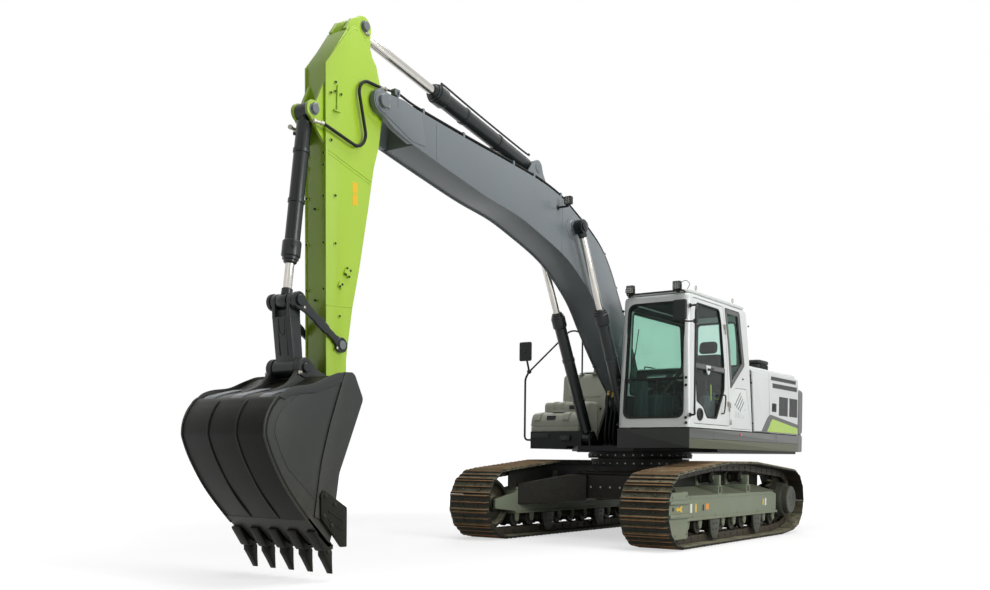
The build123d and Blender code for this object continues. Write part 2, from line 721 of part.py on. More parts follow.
with BuildPart() as access_door:
    left_window(access, Mode.ADD, 0, 0, 20)
    for i in range(5):
        x = 20 - i * 62
        z = 1560 + i * 4
        h = 260 - abs(i - 1) * 22
        left_window([(x, z), (x + 26, z), (x + 26 - h * 0.42, z + h), (x - h * 0.42, z + h)],
                    Mode.SUBTRACT, 0, -20, 32)
    for h in access_hinges:
        knuckle(access_axis, h + seat_gap / 2, h + 32, -1, 6, 7, 40)
save(access_door.part, "access_door")

with BuildPart() as cab_glass:
    with BuildPart(mode=Mode.PRIVATE) as pane:
        front_plate(screen, 1250, 1450, grow=-1)
        plate([(1375, 1300), (1354, 2300), (1310, 3000), (1304, 3000), (1348, 2300),
               (1369, 1300)], 300, 1400, mode=Mode.INTERSECT)
        block(1200, 1500, 300, 1400, 1953, 1967, mode=Mode.SUBTRACT)
    add(pane.part)
    left_window(quarter, Mode.ADD, -1, 16, 6)
    with BuildPart(mode=Mode.PRIVATE) as back:
        front_plate([(560, 2250), (1180, 2250), (1150, 2820), (600, 2820)], -620, -380, grow=-1)
        plate([(-440, 2900), (-512, 2544), (-535, 2200), (-529, 2200), (-506, 2544),
               (-434, 2900)], 300, 1400, mode=Mode.INTERSECT)
    add(back.part)
    with BuildPart(mode=Mode.PRIVATE) as right_pane:
        plate([(1180, 1800), (1150, 2800), (-300, 2800), (-380, 2250), (300, 1800)], 350, 550,
              grow=-1)
        front_plate([(cab_y0 + 15, 1600), (cab_y0 + 47, 2900), (cab_y0 + 53, 2900),
                     (cab_y0 + 21, 1600)], -700, 1500, mode=Mode.INTERSECT)
    add(right_pane.part)
save(cab_glass.part, "cab_glass")

floor_z = cab_z0 + wall_t + seat_gap
with BuildPart() as seat:
    block(-60, 430, 640, 1120, floor_z, 1560)
    block(-80, 450, 620, 1140, 1560 + seat_gap, 1700)
    plate([(-60, 1700 + seat_gap), (60, 1700 + seat_gap), (-60, 2380), (-190, 2380)], 640, 1120)
    plate([(-150, 2380 + seat_gap), (-80, 2380 + seat_gap), (-110, 2560), (-180, 2560)],
          740, 1020)
save(seat.part, "seat")

with BuildPart() as consoles:
    block(40, 760, 470, 610, floor_z, 1820)
    block(40, 700, 1150, 1240, floor_z, 1800)
    block(900, 1080, 470, 560, floor_z, 1980)
    bar((640, 540, 1819), (660, 545, 2010), 22, 8)
    bar((600, 1195, 1799), (620, 1190, 1990), 22, 8)
    bar((980, 800, floor_z + 1.6), (930, 790, 1900), 14, 8)
    bar((980, 920, floor_z + 1.6), (930, 930, 1900), 14, 8)
save(consoles.part, "consoles_and_levers")

# lamps on the roof
with BuildPart() as work_lamps:
    for y in (545, 1150):
        block(1330, 1390, y - 50, y + 50, 2994, 3084)
        block(1322, 1352, y - 14, y + 14, cab_z1 + seat_gap, 2995)
    bar((1352, 520, 2980), (1352, 1215, 2980), 9, 8)
save(work_lamps.part, "roof_lamps")

# ---------------------------------------------------------------- mirrors and rails
with BuildPart() as mirror_left:
    block(1500, 1545, 1180, 1345, 2610, 2845)
    pipe_run([(1502, 1262, 2740), (1482, 1262, 2740), (1482, 1262, 2610), (1478, 1380, 2595),
              (1430, 1412, 2600)], 10)
    pipe_run([(1322, wall_y(2800) + 0.7, 2800), (1322, 1398, 2800), (1425, 1415, 2755),
              (1425, 1415, 1575), (1375, 1398, 1530), (1375, wall_y(1530) + 0.7, 1530)], 12)
save(mirror_left.part, "mirror_and_rail_left")

with BuildPart() as mirror_right:
    block(600, 640, -1540, -1350, 2345, 2605)
    pipe_run([(602, -1440, 2360), (590, -1400, 2200), (590, -1465, 2110), (590, -1465, 1265),
              (590, -half_w + 6 - seat_gap, 1265)], 15)
    pipe_run([(590, -1402, 2200), (80, -1070, 2790), (50, -960, 2790), (50, -880, 2720),
              (50, -880, 2188 + seat_gap)], 12)
save(mirror_right.part, "mirror_and_rail_right")

# ---------------------------------------------------------------- boom
boom_side = [(4957, 4219), (4463, 4177), (3982, 4140), (3461, 4105), (2833, 4050),
             (2398, 3969), (2072, 3845), (1727, 3699), (1439, 3530), (1212, 3300),
             (1030, 3040), (760, 2640), (400, 1990)]
boom_side += arc(F[0], F[1], 150, 45, 270, 7)
boom_side += [(420, 1700), (1000, 2230), (1340, 2590), (1639, 2912), (2057, 3196),
              (2385, 3343), (2850, 3479), (3284, 3584), (3822, 3655), (4316, 3745),
              (4774, 3834), (5035, 3888)]
fork = [(4950, 4100), (4957, 4219), (5137, 4245), (5330, 4243)]
fork += arc(P[0], P[1], 112, 80, -100, 6)
fork += [(5276, 3958), (5035, 3888), (4950, 3880)]

with BuildPart() as boom:
    plate(boom_side, -boom_hw, boom_hw)
    # chords set in from the side plates, all round
    for side in (1, -1):
        a = side * (boom_hw - 16)
        plate(fork, *sorted((side * 141, side * boom_hw)))
    block(4994, 5100, -140, 140, 3800, 4300, mode=Mode.SUBTRACT)
    rod_y(F[0], F[1], 150, -262, 262)
    pin_y(F[0], F[1], 55 + pin_gap, -300, 300, mode=Mode.SUBTRACT)
    rod_y(P[0], P[1], 50, -212, 212)
    rod_y(K[0], K[1], 84, -244, 244)
    # lugs for the arm cylinder base
    for side in (1, -1):
        plate([(2520, 3980), (3020, 4060), (2860, 4260)] + arc(H[0], H[1], 85, 25, 155, 4)
              + [(2660, 4190)], *sorted((side * 86, side * 114)))
    rod_y(H[0], H[1], 45, -122, 122)
save(boom.part, "boom")

with BuildPart() as boom_lamp:
    block(2440, 2500, 290, 380, 3850, 3940)
    bar((2470, boom_hw + seat_gap, 3835), (2470, 342, 3835), 12, 8)
    bar((2470, 330, 3835), (2470, 330, 3851), 12, 8)
save(boom_lamp.part, "boom_lamp")

# ---------------------------------------------------------------- arm
arm_side = [(6041, 1660), (6060, 3076), (6073, 4310), (5740, 4800)]
arm_side += arc(N[0] + 10, N[1] - 8, 98, 40, 180, 5)
arm_side += [(5500, 4610), (5441, 4472), (5405, 4362), (5372, 4269)]
arm_side += arc(P[0], P[1], 118, 130, 230, 6)
arm_side += [(5401, 3773), (5465, 3568), (5536, 3184), (5641, 2657), (5729, 2287),
             (5800, 1850)]
arm_side += arc(B[0], B[1], 104, 180, 360, 7)
with BuildPart() as arm:
    plate(arm_side, -arm_hw, arm_hw)
    # slot between the two upper ears for the arm cylinder rod
    plate([(5380, 4395), (5560, 4395), (5700, 4580), (5880, 4760), (5880, 5000), (5380, 5000)],
          -64, 64, mode=Mode.SUBTRACT)
    pin_y(P[0], P[1], 50 + pin_gap, -140, 140, mode=Mode.SUBTRACT)
    pin_y(B[0], B[1], 42 + pin_gap, -140, 140, mode=Mode.SUBTRACT)
    rod_y(A[0], A[1], 38, -172, 172)
    # ears for the bucket cylinder base
    for side in (1, -1):
        plate([(6050, 4180), (6050, 3640), (6110, 3700)] + arc(S[0], S[1], 78, -60, 110, 5)
              + [(6080, 4120)], *sorted((side * 68, side * 98)))
    rod_y(S[0], S[1], 38, -112, 112)
    for side in (1, -1):
        rod_y(N[0], N[1], 62, *sorted((side * 64.5, side * 140)))
save(arm.part, "arm")

# ---------------------------------------------------------------- cylinders
def barrel(base, rod_end, y, gland, r, bore, eye_r, eye_hw, pin_r, head):
    """Cylinder barrel with its base eye, from the base pivot towards the rod pivot."""
    neck = along(base, rod_end, eye_r * 0.5, y)
    p0 = along(base, rod_end, 96, y)
    p1 = along(base, rod_end, gland - head, y)
    p2 = along(base, rod_end, gland - 60, y)
    p3 = along(base, rod_end, gland, y)
    bar(neck, p0, eye_hw - 2, 8)
    bar(p0, p1, r)
    bar(p1, p2, r + 16)
    bar(p2, p3, r - 6)
    rod_y(base[0], base[1], eye_r, y - eye_hw, y + eye_hw)
    bar(along(base, rod_end, 130, y), along(base, rod_end, gland + 1, y), bore,
        mode=Mode.SUBTRACT)
    pin_y(base[0], base[1], pin_r + pin_gap, y - eye_hw - 1, y + eye_hw + 1,
          mode=Mode.SUBTRACT)


def rod(base, rod_end, y, length, r, eye_r, eye_hw, cap_r, cap_hw):
    """Piston rod with a closed eye at its end."""
    d = math.hypot(rod_end[0] - base[0], rod_end[1] - base[1])
    bar(along(base, rod_end, d - length, y), along(base, rod_end, d - eye_r * 0.5, y), r)
    rod_y(rod_end[0], rod_end[1], eye_r, y - eye_hw, y + eye_hw)
    if cap_r:
        out = y + math.copysign(cap_hw, y)
        rod_y(rod_end[0], rod_end[1], cap_r, *sorted((y, out)))


with BuildPart() as boom_cylinder_barrels:
    for side in (1, -1):
        with BuildPart(mode=Mode.PRIVATE) as one:
            barrel(G, K, side * boom_cyl_y, 1697, 72, 42.6, 78, 50, 45, 200)
        add(one.part)
save(boom_cylinder_barrels.part, "boom_cylinder_barrels")

with BuildPart() as boom_cylinder_rods:
    for side in (1, -1):
        rod(G, K, side * boom_cyl_y, 1800, 42, 80, 50, 55, 72)
save(boom_cylinder_rods.part, "boom_cylinder_rods")

with BuildPart() as arm_cylinder_barrel:
    barrel(H, N, 0, 1783, 80, 46.6, 80, 66, 45, 200)
save(arm_cylinder_barrel.part, "arm_cylinder_barrel")

with BuildPart() as arm_cylinder_rod:
    rod(H, N, 0, 2010, 46, 84, 56, 0, 0)
save(arm_cylinder_rod.part, "arm_cylinder_rod")

with BuildPart() as bucket_cylinder_barrel:
    barrel(S, R, 0, 1311, 64, 37.6, 68, 62, 38, 200)
save(bucket_cylinder_barrel.part, "bucket_cylinder_barrel")

with BuildPart() as bucket_cylinder_rod:
    rod(S, R, 0, 1290, 37, 66, 56, 0, 0)
save(bucket_cylinder_rod.part, "bucket_cylinder_rod")

# ---------------------------------------------------------------- bucket links
with BuildPart() as side_links:
    for side in (1, -1):
        y0, y1 = sorted((side * 130, side * 162))
        mid = ((A[0] + R[0]) / 2, (A[1] + R[1]) / 2)
        ux = (R[0] - A[0]) / 589.5
        uz = (R[1] - A[1]) / 589.5
        plate([(A[0] - uz * 52, A[1] + ux * 52), (mid[0] - uz * 40, mid[1] + ux * 40),
               (R[0] - uz * 52, R[1] + ux * 52), (R[0] + uz * 52, R[1] - ux * 52),
               (mid[0] + uz * 40, mid[1] - ux * 40), (A[0] + uz * 52, A[1] - ux * 52)], y0, y1)
        rod_y(A[0], A[1], 66, y0, y1)
        rod_y(R[0], R[1], 72, y0, y1)
        rod_y(R[0], R[1], 44, *sorted((side * 161, side * 184)))
        pin_y(A[0], A[1], 38 + pin_gap, y0 - 1, y1 + 1, mode=Mode.SUBTRACT)
save(side_links.part, "side_links")

with BuildPart() as h_link:
    rod_y(Q[0], Q[1], 78, -128, 128)
    plate([(Q[0] - 55, Q[1]), (R[0] - 62, R[1] - 130), (R[0] + 58, R[1] - 130),
           (Q[0] + 52, Q[1])], -105, 105)
    for side in (1, -1):
        plate([(R[0] - 62, R[1] - 140), (R[0] - 62, R[1]), (R[0] + 62, R[1]),
               (R[0] + 58, R[1] - 140)], *sorted((side * 68, side * 105)))
        rod_y(R[0], R[1], 66, *sorted((side * 68, side * 122)))
    pin_y(Q[0], Q[1], 40 + pin_gap, -130, 130, mode=Mode.SUBTRACT)
save(h_link.part, "h_link")

# ---------------------------------------------------------------- bucket
shell_out = [(6376, 290), (6640, 546), (6826, 757), (6960, 966), (7032, 1120), (7042, 1195),
             (7022, 1296), (6960, 1400), (6860, 1480), (6525, 1552), (6300, 1650),
             (6172, 1668)]
shell_in = [(6166, 1640), (6290, 1622), (6514, 1526), (6848, 1454), (6938, 1382),
            (6996, 1288), (7014, 1196), (7005, 1126), (6936, 978), (6804, 774),
            (6620, 566), (6330, 300)]
side_outer = [(6330, 300)] + shell_out[:-1] + [(6198, 1682), (6078, 1672), (5979, 1480),
                                               (6150, 1100), (6257, 865), (6289, 665),
                                               (6290, 480)]
ear = [(5800, 1530), (5828, 1606), (5905, 1636), (6120, 1680), (6262, 1770)]
ear += arc(Q[0], Q[1], 84, 130, -20, 4)
ear += [(6520, 1600), (6640, 1520), (6400, 1560), (6240, 1600), (6180, 1560), (6010, 1500)]
ear += arc(B[0], B[1], 105, 330, 200, 4)
with BuildPart() as bucket:
    plate(shell_out + shell_in, -bucket_hw, bucket_hw)
    for side in (1, -1):
        plate(side_outer, *sorted((side * (bucket_hw - 24), side * bucket_hw)))
        # raised rim along the mouth edge
        plate([(6290, 480), (6380, 560), (6345, 900), (6165, 1380), (6150, 1560),
               (6230, 1660), (6198, 1682), (6078, 1672), (5979, 1480), (6150, 1100),
               (6257, 865), (6289, 665)],
              *sorted((side * (bucket_hw - 1), side * (bucket_hw + 14))))
        # side cutter
        plate([(6300, 690), (6186, 600), (6186, 280), (6225, 280), (6310, 400), (6395, 500),
               (6395, 660), (6360, 700)], *sorted((side * (bucket_hw + 13),
                                                   side * (bucket_hw + 34))))
        plate(ear, *sorted((side * 140, side * 182)))
        rod_y(B[0], B[1], 105, *sorted((side * 136, side * 196)))
        rod_y(Q[0], Q[1], 84, *sorted((side * 136, side * 196)))
    # lip
    plate([(6376, 290), (6320, 300), (6560, 540), (6600, 498)], -bucket_hw, bucket_hw)
    rod_y(B[0], B[1], 42, -206, 206)
    rod_y(Q[0], Q[1], 40, -214, 214)
    # wear strips along the back
    for y in (-165, 165):
        plate([(6700, 614), (6826, 757), (6960, 966), (7032, 1120), (7042, 1195),
               (7014, 1310), (7026, 1314), (7054, 1195), (7044, 1115), (6970, 960),
               (6835, 750), (6708, 605)], y - 11, y + 11)
save(bucket.part, "bucket")

tooth_y = [-440.0, -220.0, 0.0, 220.0, 440.0]
with BuildPart() as bucket_teeth:
    for y in tooth_y:
        # adapter ahead of the lip, then the tooth point
        plate([(6375.6, 289.2), (6515.1, 418.4), (6533, 398), (6430, 250), (6318, 256),
               (6318, 298.8)], y - 52, y + 52)
        plate([(6316, 257), (6431, 251), (6332, 60), (6290, 55)], y - 40, y + 40)
save(bucket_teeth.part, "bucket_teeth")
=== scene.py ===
# %% [markdown]
# # A crawler excavator, dressed
# The frame holds the machine's parts at their real size. Each cell below gives
# one part its surface: smooth skins worked out as arrays, and paints made of nodes.
# X points forward, Y to the left and Z up; lengths here are millimetres.

import math

import bmesh
import bpy
import numpy as np
from mathutils import Matrix, Vector


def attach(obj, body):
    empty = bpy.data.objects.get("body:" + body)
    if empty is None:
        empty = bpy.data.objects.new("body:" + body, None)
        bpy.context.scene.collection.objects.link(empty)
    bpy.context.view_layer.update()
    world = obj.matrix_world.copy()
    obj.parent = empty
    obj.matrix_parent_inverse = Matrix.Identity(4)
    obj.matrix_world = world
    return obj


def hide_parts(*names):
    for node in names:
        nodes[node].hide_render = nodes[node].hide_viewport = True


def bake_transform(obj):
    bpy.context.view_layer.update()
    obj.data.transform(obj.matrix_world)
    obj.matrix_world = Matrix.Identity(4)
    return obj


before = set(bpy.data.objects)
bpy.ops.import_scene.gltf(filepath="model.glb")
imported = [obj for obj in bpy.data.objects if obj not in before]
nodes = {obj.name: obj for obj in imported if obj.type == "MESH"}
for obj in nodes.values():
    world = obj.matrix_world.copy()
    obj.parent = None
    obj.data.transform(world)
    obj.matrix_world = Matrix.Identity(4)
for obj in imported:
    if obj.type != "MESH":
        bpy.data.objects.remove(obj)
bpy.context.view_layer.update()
MM = 0.001

# %% [markdown]
# ## The camera
# The machine is seen from its front left, about a metre above the ground. The lens
# looks nearly level and the shift lifts the view, so that uprights stay upright.

# %% Camera
camera_place = np.array([12.236, 6.239, 0.992])
camera_yaw, camera_pitch, camera_roll = 0.6098, -0.0173, 0.0100
focal_widths = 1.0240101             # focal length over the picture's width
shift_across, shift_up = -0.0036, 0.1839

forward = np.array([-math.cos(camera_yaw) * math.cos(camera_pitch),
                    -math.sin(camera_yaw) * math.cos(camera_pitch),
                    math.sin(camera_pitch)])
right = np.cross(forward, (0, 0, 1))
right /= np.linalg.norm(right)
up = np.cross(right, forward)
c, s = math.cos(camera_roll), math.sin(camera_roll)
right, up = c * right + s * up, -s * right + c * up
turn = np.eye(4)
turn[:3, 0], turn[:3, 1], turn[:3, 2], turn[:3, 3] = right, up, -forward, camera_place

camera = bpy.data.objects.new("camera", bpy.data.cameras.new("camera"))
bpy.context.scene.collection.objects.link(camera)
camera.data.sensor_width = 36
camera.data.lens = 36 * focal_widths
camera.data.shift_x, camera.data.shift_y = shift_across, shift_up
camera.data.clip_end = 200
camera.matrix_world = Matrix(turn.tolist())
bpy.context.scene.camera = camera
print("lens", round(camera.data.lens, 2))

# %% [markdown]
# ## Light, floor and backdrop
# A wide soft lamp above, one at the machine's left, a faint one in front and a weaker
# one behind act as a studio's softboxes. The world gives the rest. To the camera, to
# reflections and through panes it is white, while the light it spreads stays weak.

# %% World, lamps and floor
scene = bpy.context.scene
scene.view_settings.view_transform = "Standard"
world = bpy.data.worlds.new("studio")
scene.world = world
world.use_nodes = True
world_nodes, world_links = world.node_tree.nodes, world.node_tree.links
world_nodes.clear()
sky = world_nodes.new("ShaderNodeBackground")
sky.inputs["Color"].default_value = (1, 1, 1, 1)
sky.inputs["Strength"].default_value = 0.09
seen = world_nodes.new("ShaderNodeBackground")
seen.inputs["Color"].default_value = (1, 1, 1, 1)
seen.inputs["Strength"].default_value = 1.0
ray = world_nodes.new("ShaderNodeLightPath")


def straight_rays(tree, path):
    """1 for camera, glossy and transmission rays, 0 for the light that surfaces spread."""
    total = path.outputs["Is Camera Ray"]
    for name in ("Is Glossy Ray", "Is Transmission Ray"):
        either = tree.nodes.new("ShaderNodeMath")
        either.operation = "MAXIMUM"
        tree.links.new(total, either.inputs[0])
        tree.links.new(path.outputs[name], either.inputs[1])
        total = either.outputs[0]
    return total


pick = world_nodes.new("ShaderNodeMixShader")
out = world_nodes.new("ShaderNodeOutputWorld")
world_links.new(straight_rays(world.node_tree, ray), pick.inputs["Fac"])
world_links.new(sky.outputs[0], pick.inputs[1])
world_links.new(seen.outputs[0], pick.inputs[2])
world_links.new(pick.outputs[0], out.inputs["Surface"])


def lamp(name, place, target, size, watts):
    """Square area lamp at a place, turned to a target; metres and watts."""
    light = bpy.data.lights.new(name, "AREA")
    light.size, light.energy = size, watts
    obj = bpy.data.objects.new(name, light)
    scene.collection.objects.link(obj)
    obj.location = place
    obj.visible_camera = obj.visible_transmission = False
    aim = Vector(target) - Vector(place)
    obj.rotation_euler = aim.to_track_quat("-Z", "Y").to_euler()


lamp("softbox_top", (2, 3, 14), (1.5, 0, 1), 9, 1250)
lamp("softbox_left", (4, 14, 6), (1.5, 0, 1.8), 7, 1350)
lamp("softbox_front", (15, 2, 5), (2, 0, 2), 5, 30)
lamp("softbox_back", (-11, -8, 7), (-1, 0, 1.5), 7, 520)

floor_mesh = bpy.data.meshes.new("floor")
floor_mesh.from_pydata([(-90, -90, -0.002), (90, -90, -0.002), (90, 90, -0.002),
                        (-90, 90, -0.002)], [], [(0, 1, 2, 3)])
floor = bpy.data.objects.new("floor", floor_mesh)
scene.collection.objects.link(floor)

# the floor's own colour is pale, and what the camera sees of it is lifted to white
pale = bpy.data.materials.new("pale_floor")
pale.use_nodes = True
floor_nodes, floor_links = pale.node_tree.nodes, pale.node_tree.links
base = floor_nodes["Principled BSDF"]
base.inputs["Base Color"].default_value = (0.42, 0.42, 0.42, 1)
base.inputs["Roughness"].default_value = 0.9
glow = floor_nodes.new("ShaderNodeEmission")
path = floor_nodes.new("ShaderNodeLightPath")
where = floor_nodes.new("ShaderNodeTexCoord")
away = floor_nodes.new("ShaderNodeVectorMath")
away.operation = "LENGTH"
rise = floor_nodes.new("ShaderNodeMapRange")
rise.interpolation_type = "SMOOTHSTEP"
for key, value in (("From Min", 4.5), ("From Max", 12.0), ("To Min", 0.58), ("To Max", 1.0)):
    rise.inputs[key].default_value = value
level = floor_nodes.new("ShaderNodeMath")
level.operation = "MULTIPLY"
both = floor_nodes.new("ShaderNodeAddShader")
floor_links.new(where.outputs["Object"], away.inputs[0])
floor_links.new(away.outputs["Value"], rise.inputs["Value"])
floor_links.new(rise.outputs["Result"], level.inputs[0])
floor_links.new(straight_rays(pale.node_tree, path), level.inputs[1])
floor_links.new(level.outputs[0], glow.inputs["Strength"])
floor_links.new(base.outputs[0], both.inputs[0])
floor_links.new(glow.outputs[0], both.inputs[1])
floor_links.new(both.outputs[0], floor_nodes["Material Output"].inputs["Surface"])
floor_mesh.materials.append(pale)

# %% [markdown]
# ## Skins over rings
# Nearly every piece here is a row of closed rings with a skin between them: a
# plate's outline repeated from face to face, a turned pin, a bent pipe. Rings are
# whole arrays, so one formula makes them all. Ends are closed with a flat face.

# %% Rings, plates, turned pieces and pipes
class Skin:
    """Vertices and faces of one piece, gathered part by part."""

    def __init__(self, *shapes):
        self.points, self.faces, self.count = [], [], 0
        self.add(*shapes)

    def add(self, *shapes):
        """Shapes, each a pair of points and faces, after what is there."""
        for points, faces in shapes:
            self.points.append(np.asarray(points, float))
            self.faces += [(np.asarray(f) + self.count).tolist() for f in faces]
            self.count += len(points)

    def join(self, other):
        """All of another skin's parts, after this one's."""
        base = self.count
        self.points += other.points
        self.faces += [[[i + base for i in f] for f in g] for g in other.faces]
        self.count += other.count


def loft(rings, close=True, wrap=False):
    """Skin over rings (m, n, 3): point j of ring i joins its neighbours on both rings."""
    rings = np.asarray(rings, float)
    m, n = rings.shape[:2]
    i = np.arange(m if wrap else m - 1)[:, None]
    j = np.arange(n)[None, :]
    a, b = (i % m) * n, ((i + 1) % m) * n
    quads = np.stack([a + j, a + (j + 1) % n, b + (j + 1) % n, b + j], -1).reshape(-1, 4)
    faces = [quads]
    if close and not wrap:
        faces += [np.arange(n)[None, ::-1], (m - 1) * n + np.arange(n)[None]]
    return rings.reshape(-1, 3), faces


def rect(x0, x1, z0, z1):
    """Corners of a rectangle, going round."""
    return [(x0, z0), (x1, z0), (x1, z1), (x0, z1)]


def inset(outline, d):
    """Closed outline moved inward by d: each corner moves along the sum of its two
    edge normals, divided by one plus their dot product."""
    p = np.asarray(outline, float)
    x, y = p[:, 0], p[:, 1]
    area = np.sum(x * np.roll(y, -1) - np.roll(x, -1) * y)
    e = np.roll(p, -1, 0) - p
    e /= np.maximum(np.linalg.norm(e, axis=1, keepdims=True), 1e-9)
    n = np.stack([-e[:, 1], e[:, 0]], 1) * np.sign(area)
    m = np.roll(n, 1, 0)
    bend = np.clip(1 + np.sum(n * m, 1, keepdims=True), 0.25, 2)
    return p + (n + m) / bend * d


def fillet(points, radius, steps=4):
    """Corners rounded: (1-t)^2 A + 2t(1-t) C + t^2 B from A before corner C to B after."""
    p = np.asarray(points, float)
    r = np.broadcast_to(np.asarray(radius, float), (len(p),))[:, None]
    back, ahead = np.roll(p, 1, 0) - p, np.roll(p, -1, 0) - p
    lb = np.linalg.norm(back, axis=1, keepdims=True)
    la = np.linalg.norm(ahead, axis=1, keepdims=True)
    cut = np.minimum(r, 0.47 * np.minimum(lb, la))
    a, b = p + back / lb * cut, p + ahead / la * cut
    t = np.linspace(0, 1, steps + 1)[None, :, None]
    q = (1 - t) ** 2 * a[:, None] + 2 * t * (1 - t) * p[:, None] + t ** 2 * b[:, None]
    return q.reshape(-1, 2)


def curve(points, n=8):
    """Catmull-Rom line through open points, n steps between neighbours."""
    p = np.asarray(points, float)
    q = np.vstack([2 * p[0] - p[1], p, 2 * p[-1] - p[-2]])
    t = np.linspace(0, 1, n, endpoint=False)[None, :, None]
    a, b, c, d = (q[k:len(q) - 3 + k, None] for k in range(4))
    line = 0.5 * (2 * b + (c - a) * t + (2 * a - 5 * b + 4 * c - d) * t ** 2
                  + (3 * b - a - 3 * c + d) * t ** 3)
    return np.vstack([line.reshape(-1, p.shape[1]), p[-1:]])


def bent(points, radius, steps=5):
    """Open line in space whose inner corners are rounded, for pipes bent on a former."""
    p = np.asarray(points, float)
    back, ahead = p[:-2] - p[1:-1], p[2:] - p[1:-1]
    lb = np.linalg.norm(back, axis=1, keepdims=True)
    la = np.linalg.norm(ahead, axis=1, keepdims=True)
    cut = np.minimum(radius, 0.47 * np.minimum(lb, la))
    a, b = p[1:-1] + back / lb * cut, p[1:-1] + ahead / la * cut
    t = np.linspace(0, 1, steps + 1)[None, :, None]
    q = (1 - t) ** 2 * a[:, None] + 2 * t * (1 - t) * p[1:-1, None] + t ** 2 * b[:, None]
    return np.vstack([p[:1], q.reshape(-1, 3), p[-1:]])


def lay(flat, height, axis):
    """Flat points (n, 2) set at a height along an axis: y takes (x, z), x takes
    (y, z) and z takes (x, y)."""
    if callable(axis):
        return axis(flat, height)
    u, v = flat[:, 0], flat[:, 1]
    w = np.full(len(flat), float(height))
    return np.stack({"y": (u, w, v), "x": (w, u, v), "z": (u, v, w)}[axis], 1)


def plate(outline, lo, hi, edge=4, axis="y", steps=3):
    """Plate from lo to hi with quarter-round edges: at angle a the outline is inset
    by edge (1 - sin a) at depth edge (1 - cos a)."""
    lo, hi = min(lo, hi), max(lo, hi)
    edge = min(edge, 0.45 * (hi - lo))
    a = np.linspace(0, math.pi / 2, steps + 1)
    ins = edge * (1 - np.sin(a))
    dep = edge * (1 - np.cos(a))
    rings = [lay(inset(outline, i), lo + d, axis) for i, d in zip(ins, dep)]
    rings += [lay(inset(outline, i), hi - d, axis) for i, d in zip(ins[::-1], dep[::-1])]
    return loft(rings)


def box(x0, x1, y0, y1, z0, z1, edge=5, corner=6):
    """Box with soft edges, as a plate whose outline has rounded corners."""
    return plate(fillet(rect(x0, x1, z0, z1), corner, 3), y0, y1, edge)


def sticker(outline, lo, hi):
    """Thin plate on a painted face."""
    return plate(outline, lo, hi, 0.3, steps=1)


def circle(centre, r, n, start=0.0):
    """n points evenly round a centre, from an angle in radians."""
    t = start + np.arange(n) * 2 * math.pi / n
    return np.stack([centre[0] + r * np.cos(t), centre[1] + r * np.sin(t)], 1)


def basis(direction):
    """Two unit vectors across a direction."""
    d = np.asarray(direction, float) / np.linalg.norm(direction)
    side = np.cross(d, (0, 1, 0) if abs(d[1]) < 0.9 else (1, 0, 0))
    side /= np.linalg.norm(side)
    return d, side, np.cross(d, side)


def turned(base, direction, profile, n=40):
    """Profile rows (radius, height) turned round an axis from base."""
    d, u, v = basis(direction)
    pr = np.asarray(profile, float)
    a = np.linspace(0, 2 * math.pi, n, endpoint=False)
    ring = np.cos(a)[:, None] * u + np.sin(a)[:, None] * v
    rings = (np.asarray(base, float) + pr[:, 1, None, None] * d
             + pr[:, 0, None, None] * ring[None])
    return loft(rings)


def hollow(base, direction, profile, n=40):
    """Profile turned round an axis whose last circle joins its first, so the bore stays free."""
    points, faces = turned(base, direction, profile, n)
    last = (len(profile) - 1) * n
    j = np.arange(n)
    ring = np.stack([last + j, last + (j + 1) % n, (j + 1) % n, j], 1)
    return points, [faces[0], ring]


def disc_profile(r, h0, h1, edge=3):
    """Plain round bar with softened rims."""
    e = min(edge, r * 0.4, abs(h1 - h0) * 0.4)
    s = 1 if h1 > h0 else -1
    return [(r - e, h0), (r - e * 0.3, h0 + s * e * 0.3), (r, h0 + s * e),
            (r, h1 - s * e), (r - e * 0.3, h1 - s * e * 0.3), (r - e, h1)]


def pin_y(x, z, r, y0, y1, edge=3, n=40):
    """Round bar along Y with soft rims."""
    return turned((x, y0, z), (0, 1, 0), disc_profile(r, 0, y1 - y0, edge), n)


def tube(points, r, n=12, steps=0):
    """Round pipe along points, smoothed when steps are given. The ring's frame is carried from
    station to station by taking out of its side vector what lies along the new direction."""
    line = curve(points, steps) if steps else np.asarray(points, float)
    t = np.gradient(line, axis=0)
    t /= np.linalg.norm(t, axis=1, keepdims=True)
    side = basis(t[0])[1]
    sides = []
    for d in t:
        side = side - d * (side @ d)
        side = side / np.linalg.norm(side)
        sides.append(side)
    sides = np.array(sides)
    other = np.cross(t, sides)
    a = np.linspace(0, 2 * math.pi, n, endpoint=False)
    rad = np.broadcast_to(np.asarray(r, float), (len(line),))[:, None, None]
    rings = line[:, None] + rad * (np.cos(a)[None, :, None] * sides[:, None]
                                   + np.sin(a)[None, :, None] * other[:, None])
    return loft(rings)


def bead(flat, y, r, n=8):
    """Round pipe along a flat line of (x, z) pairs, at y."""
    return tube(np.insert(flat, 1, y, 1), r, n)


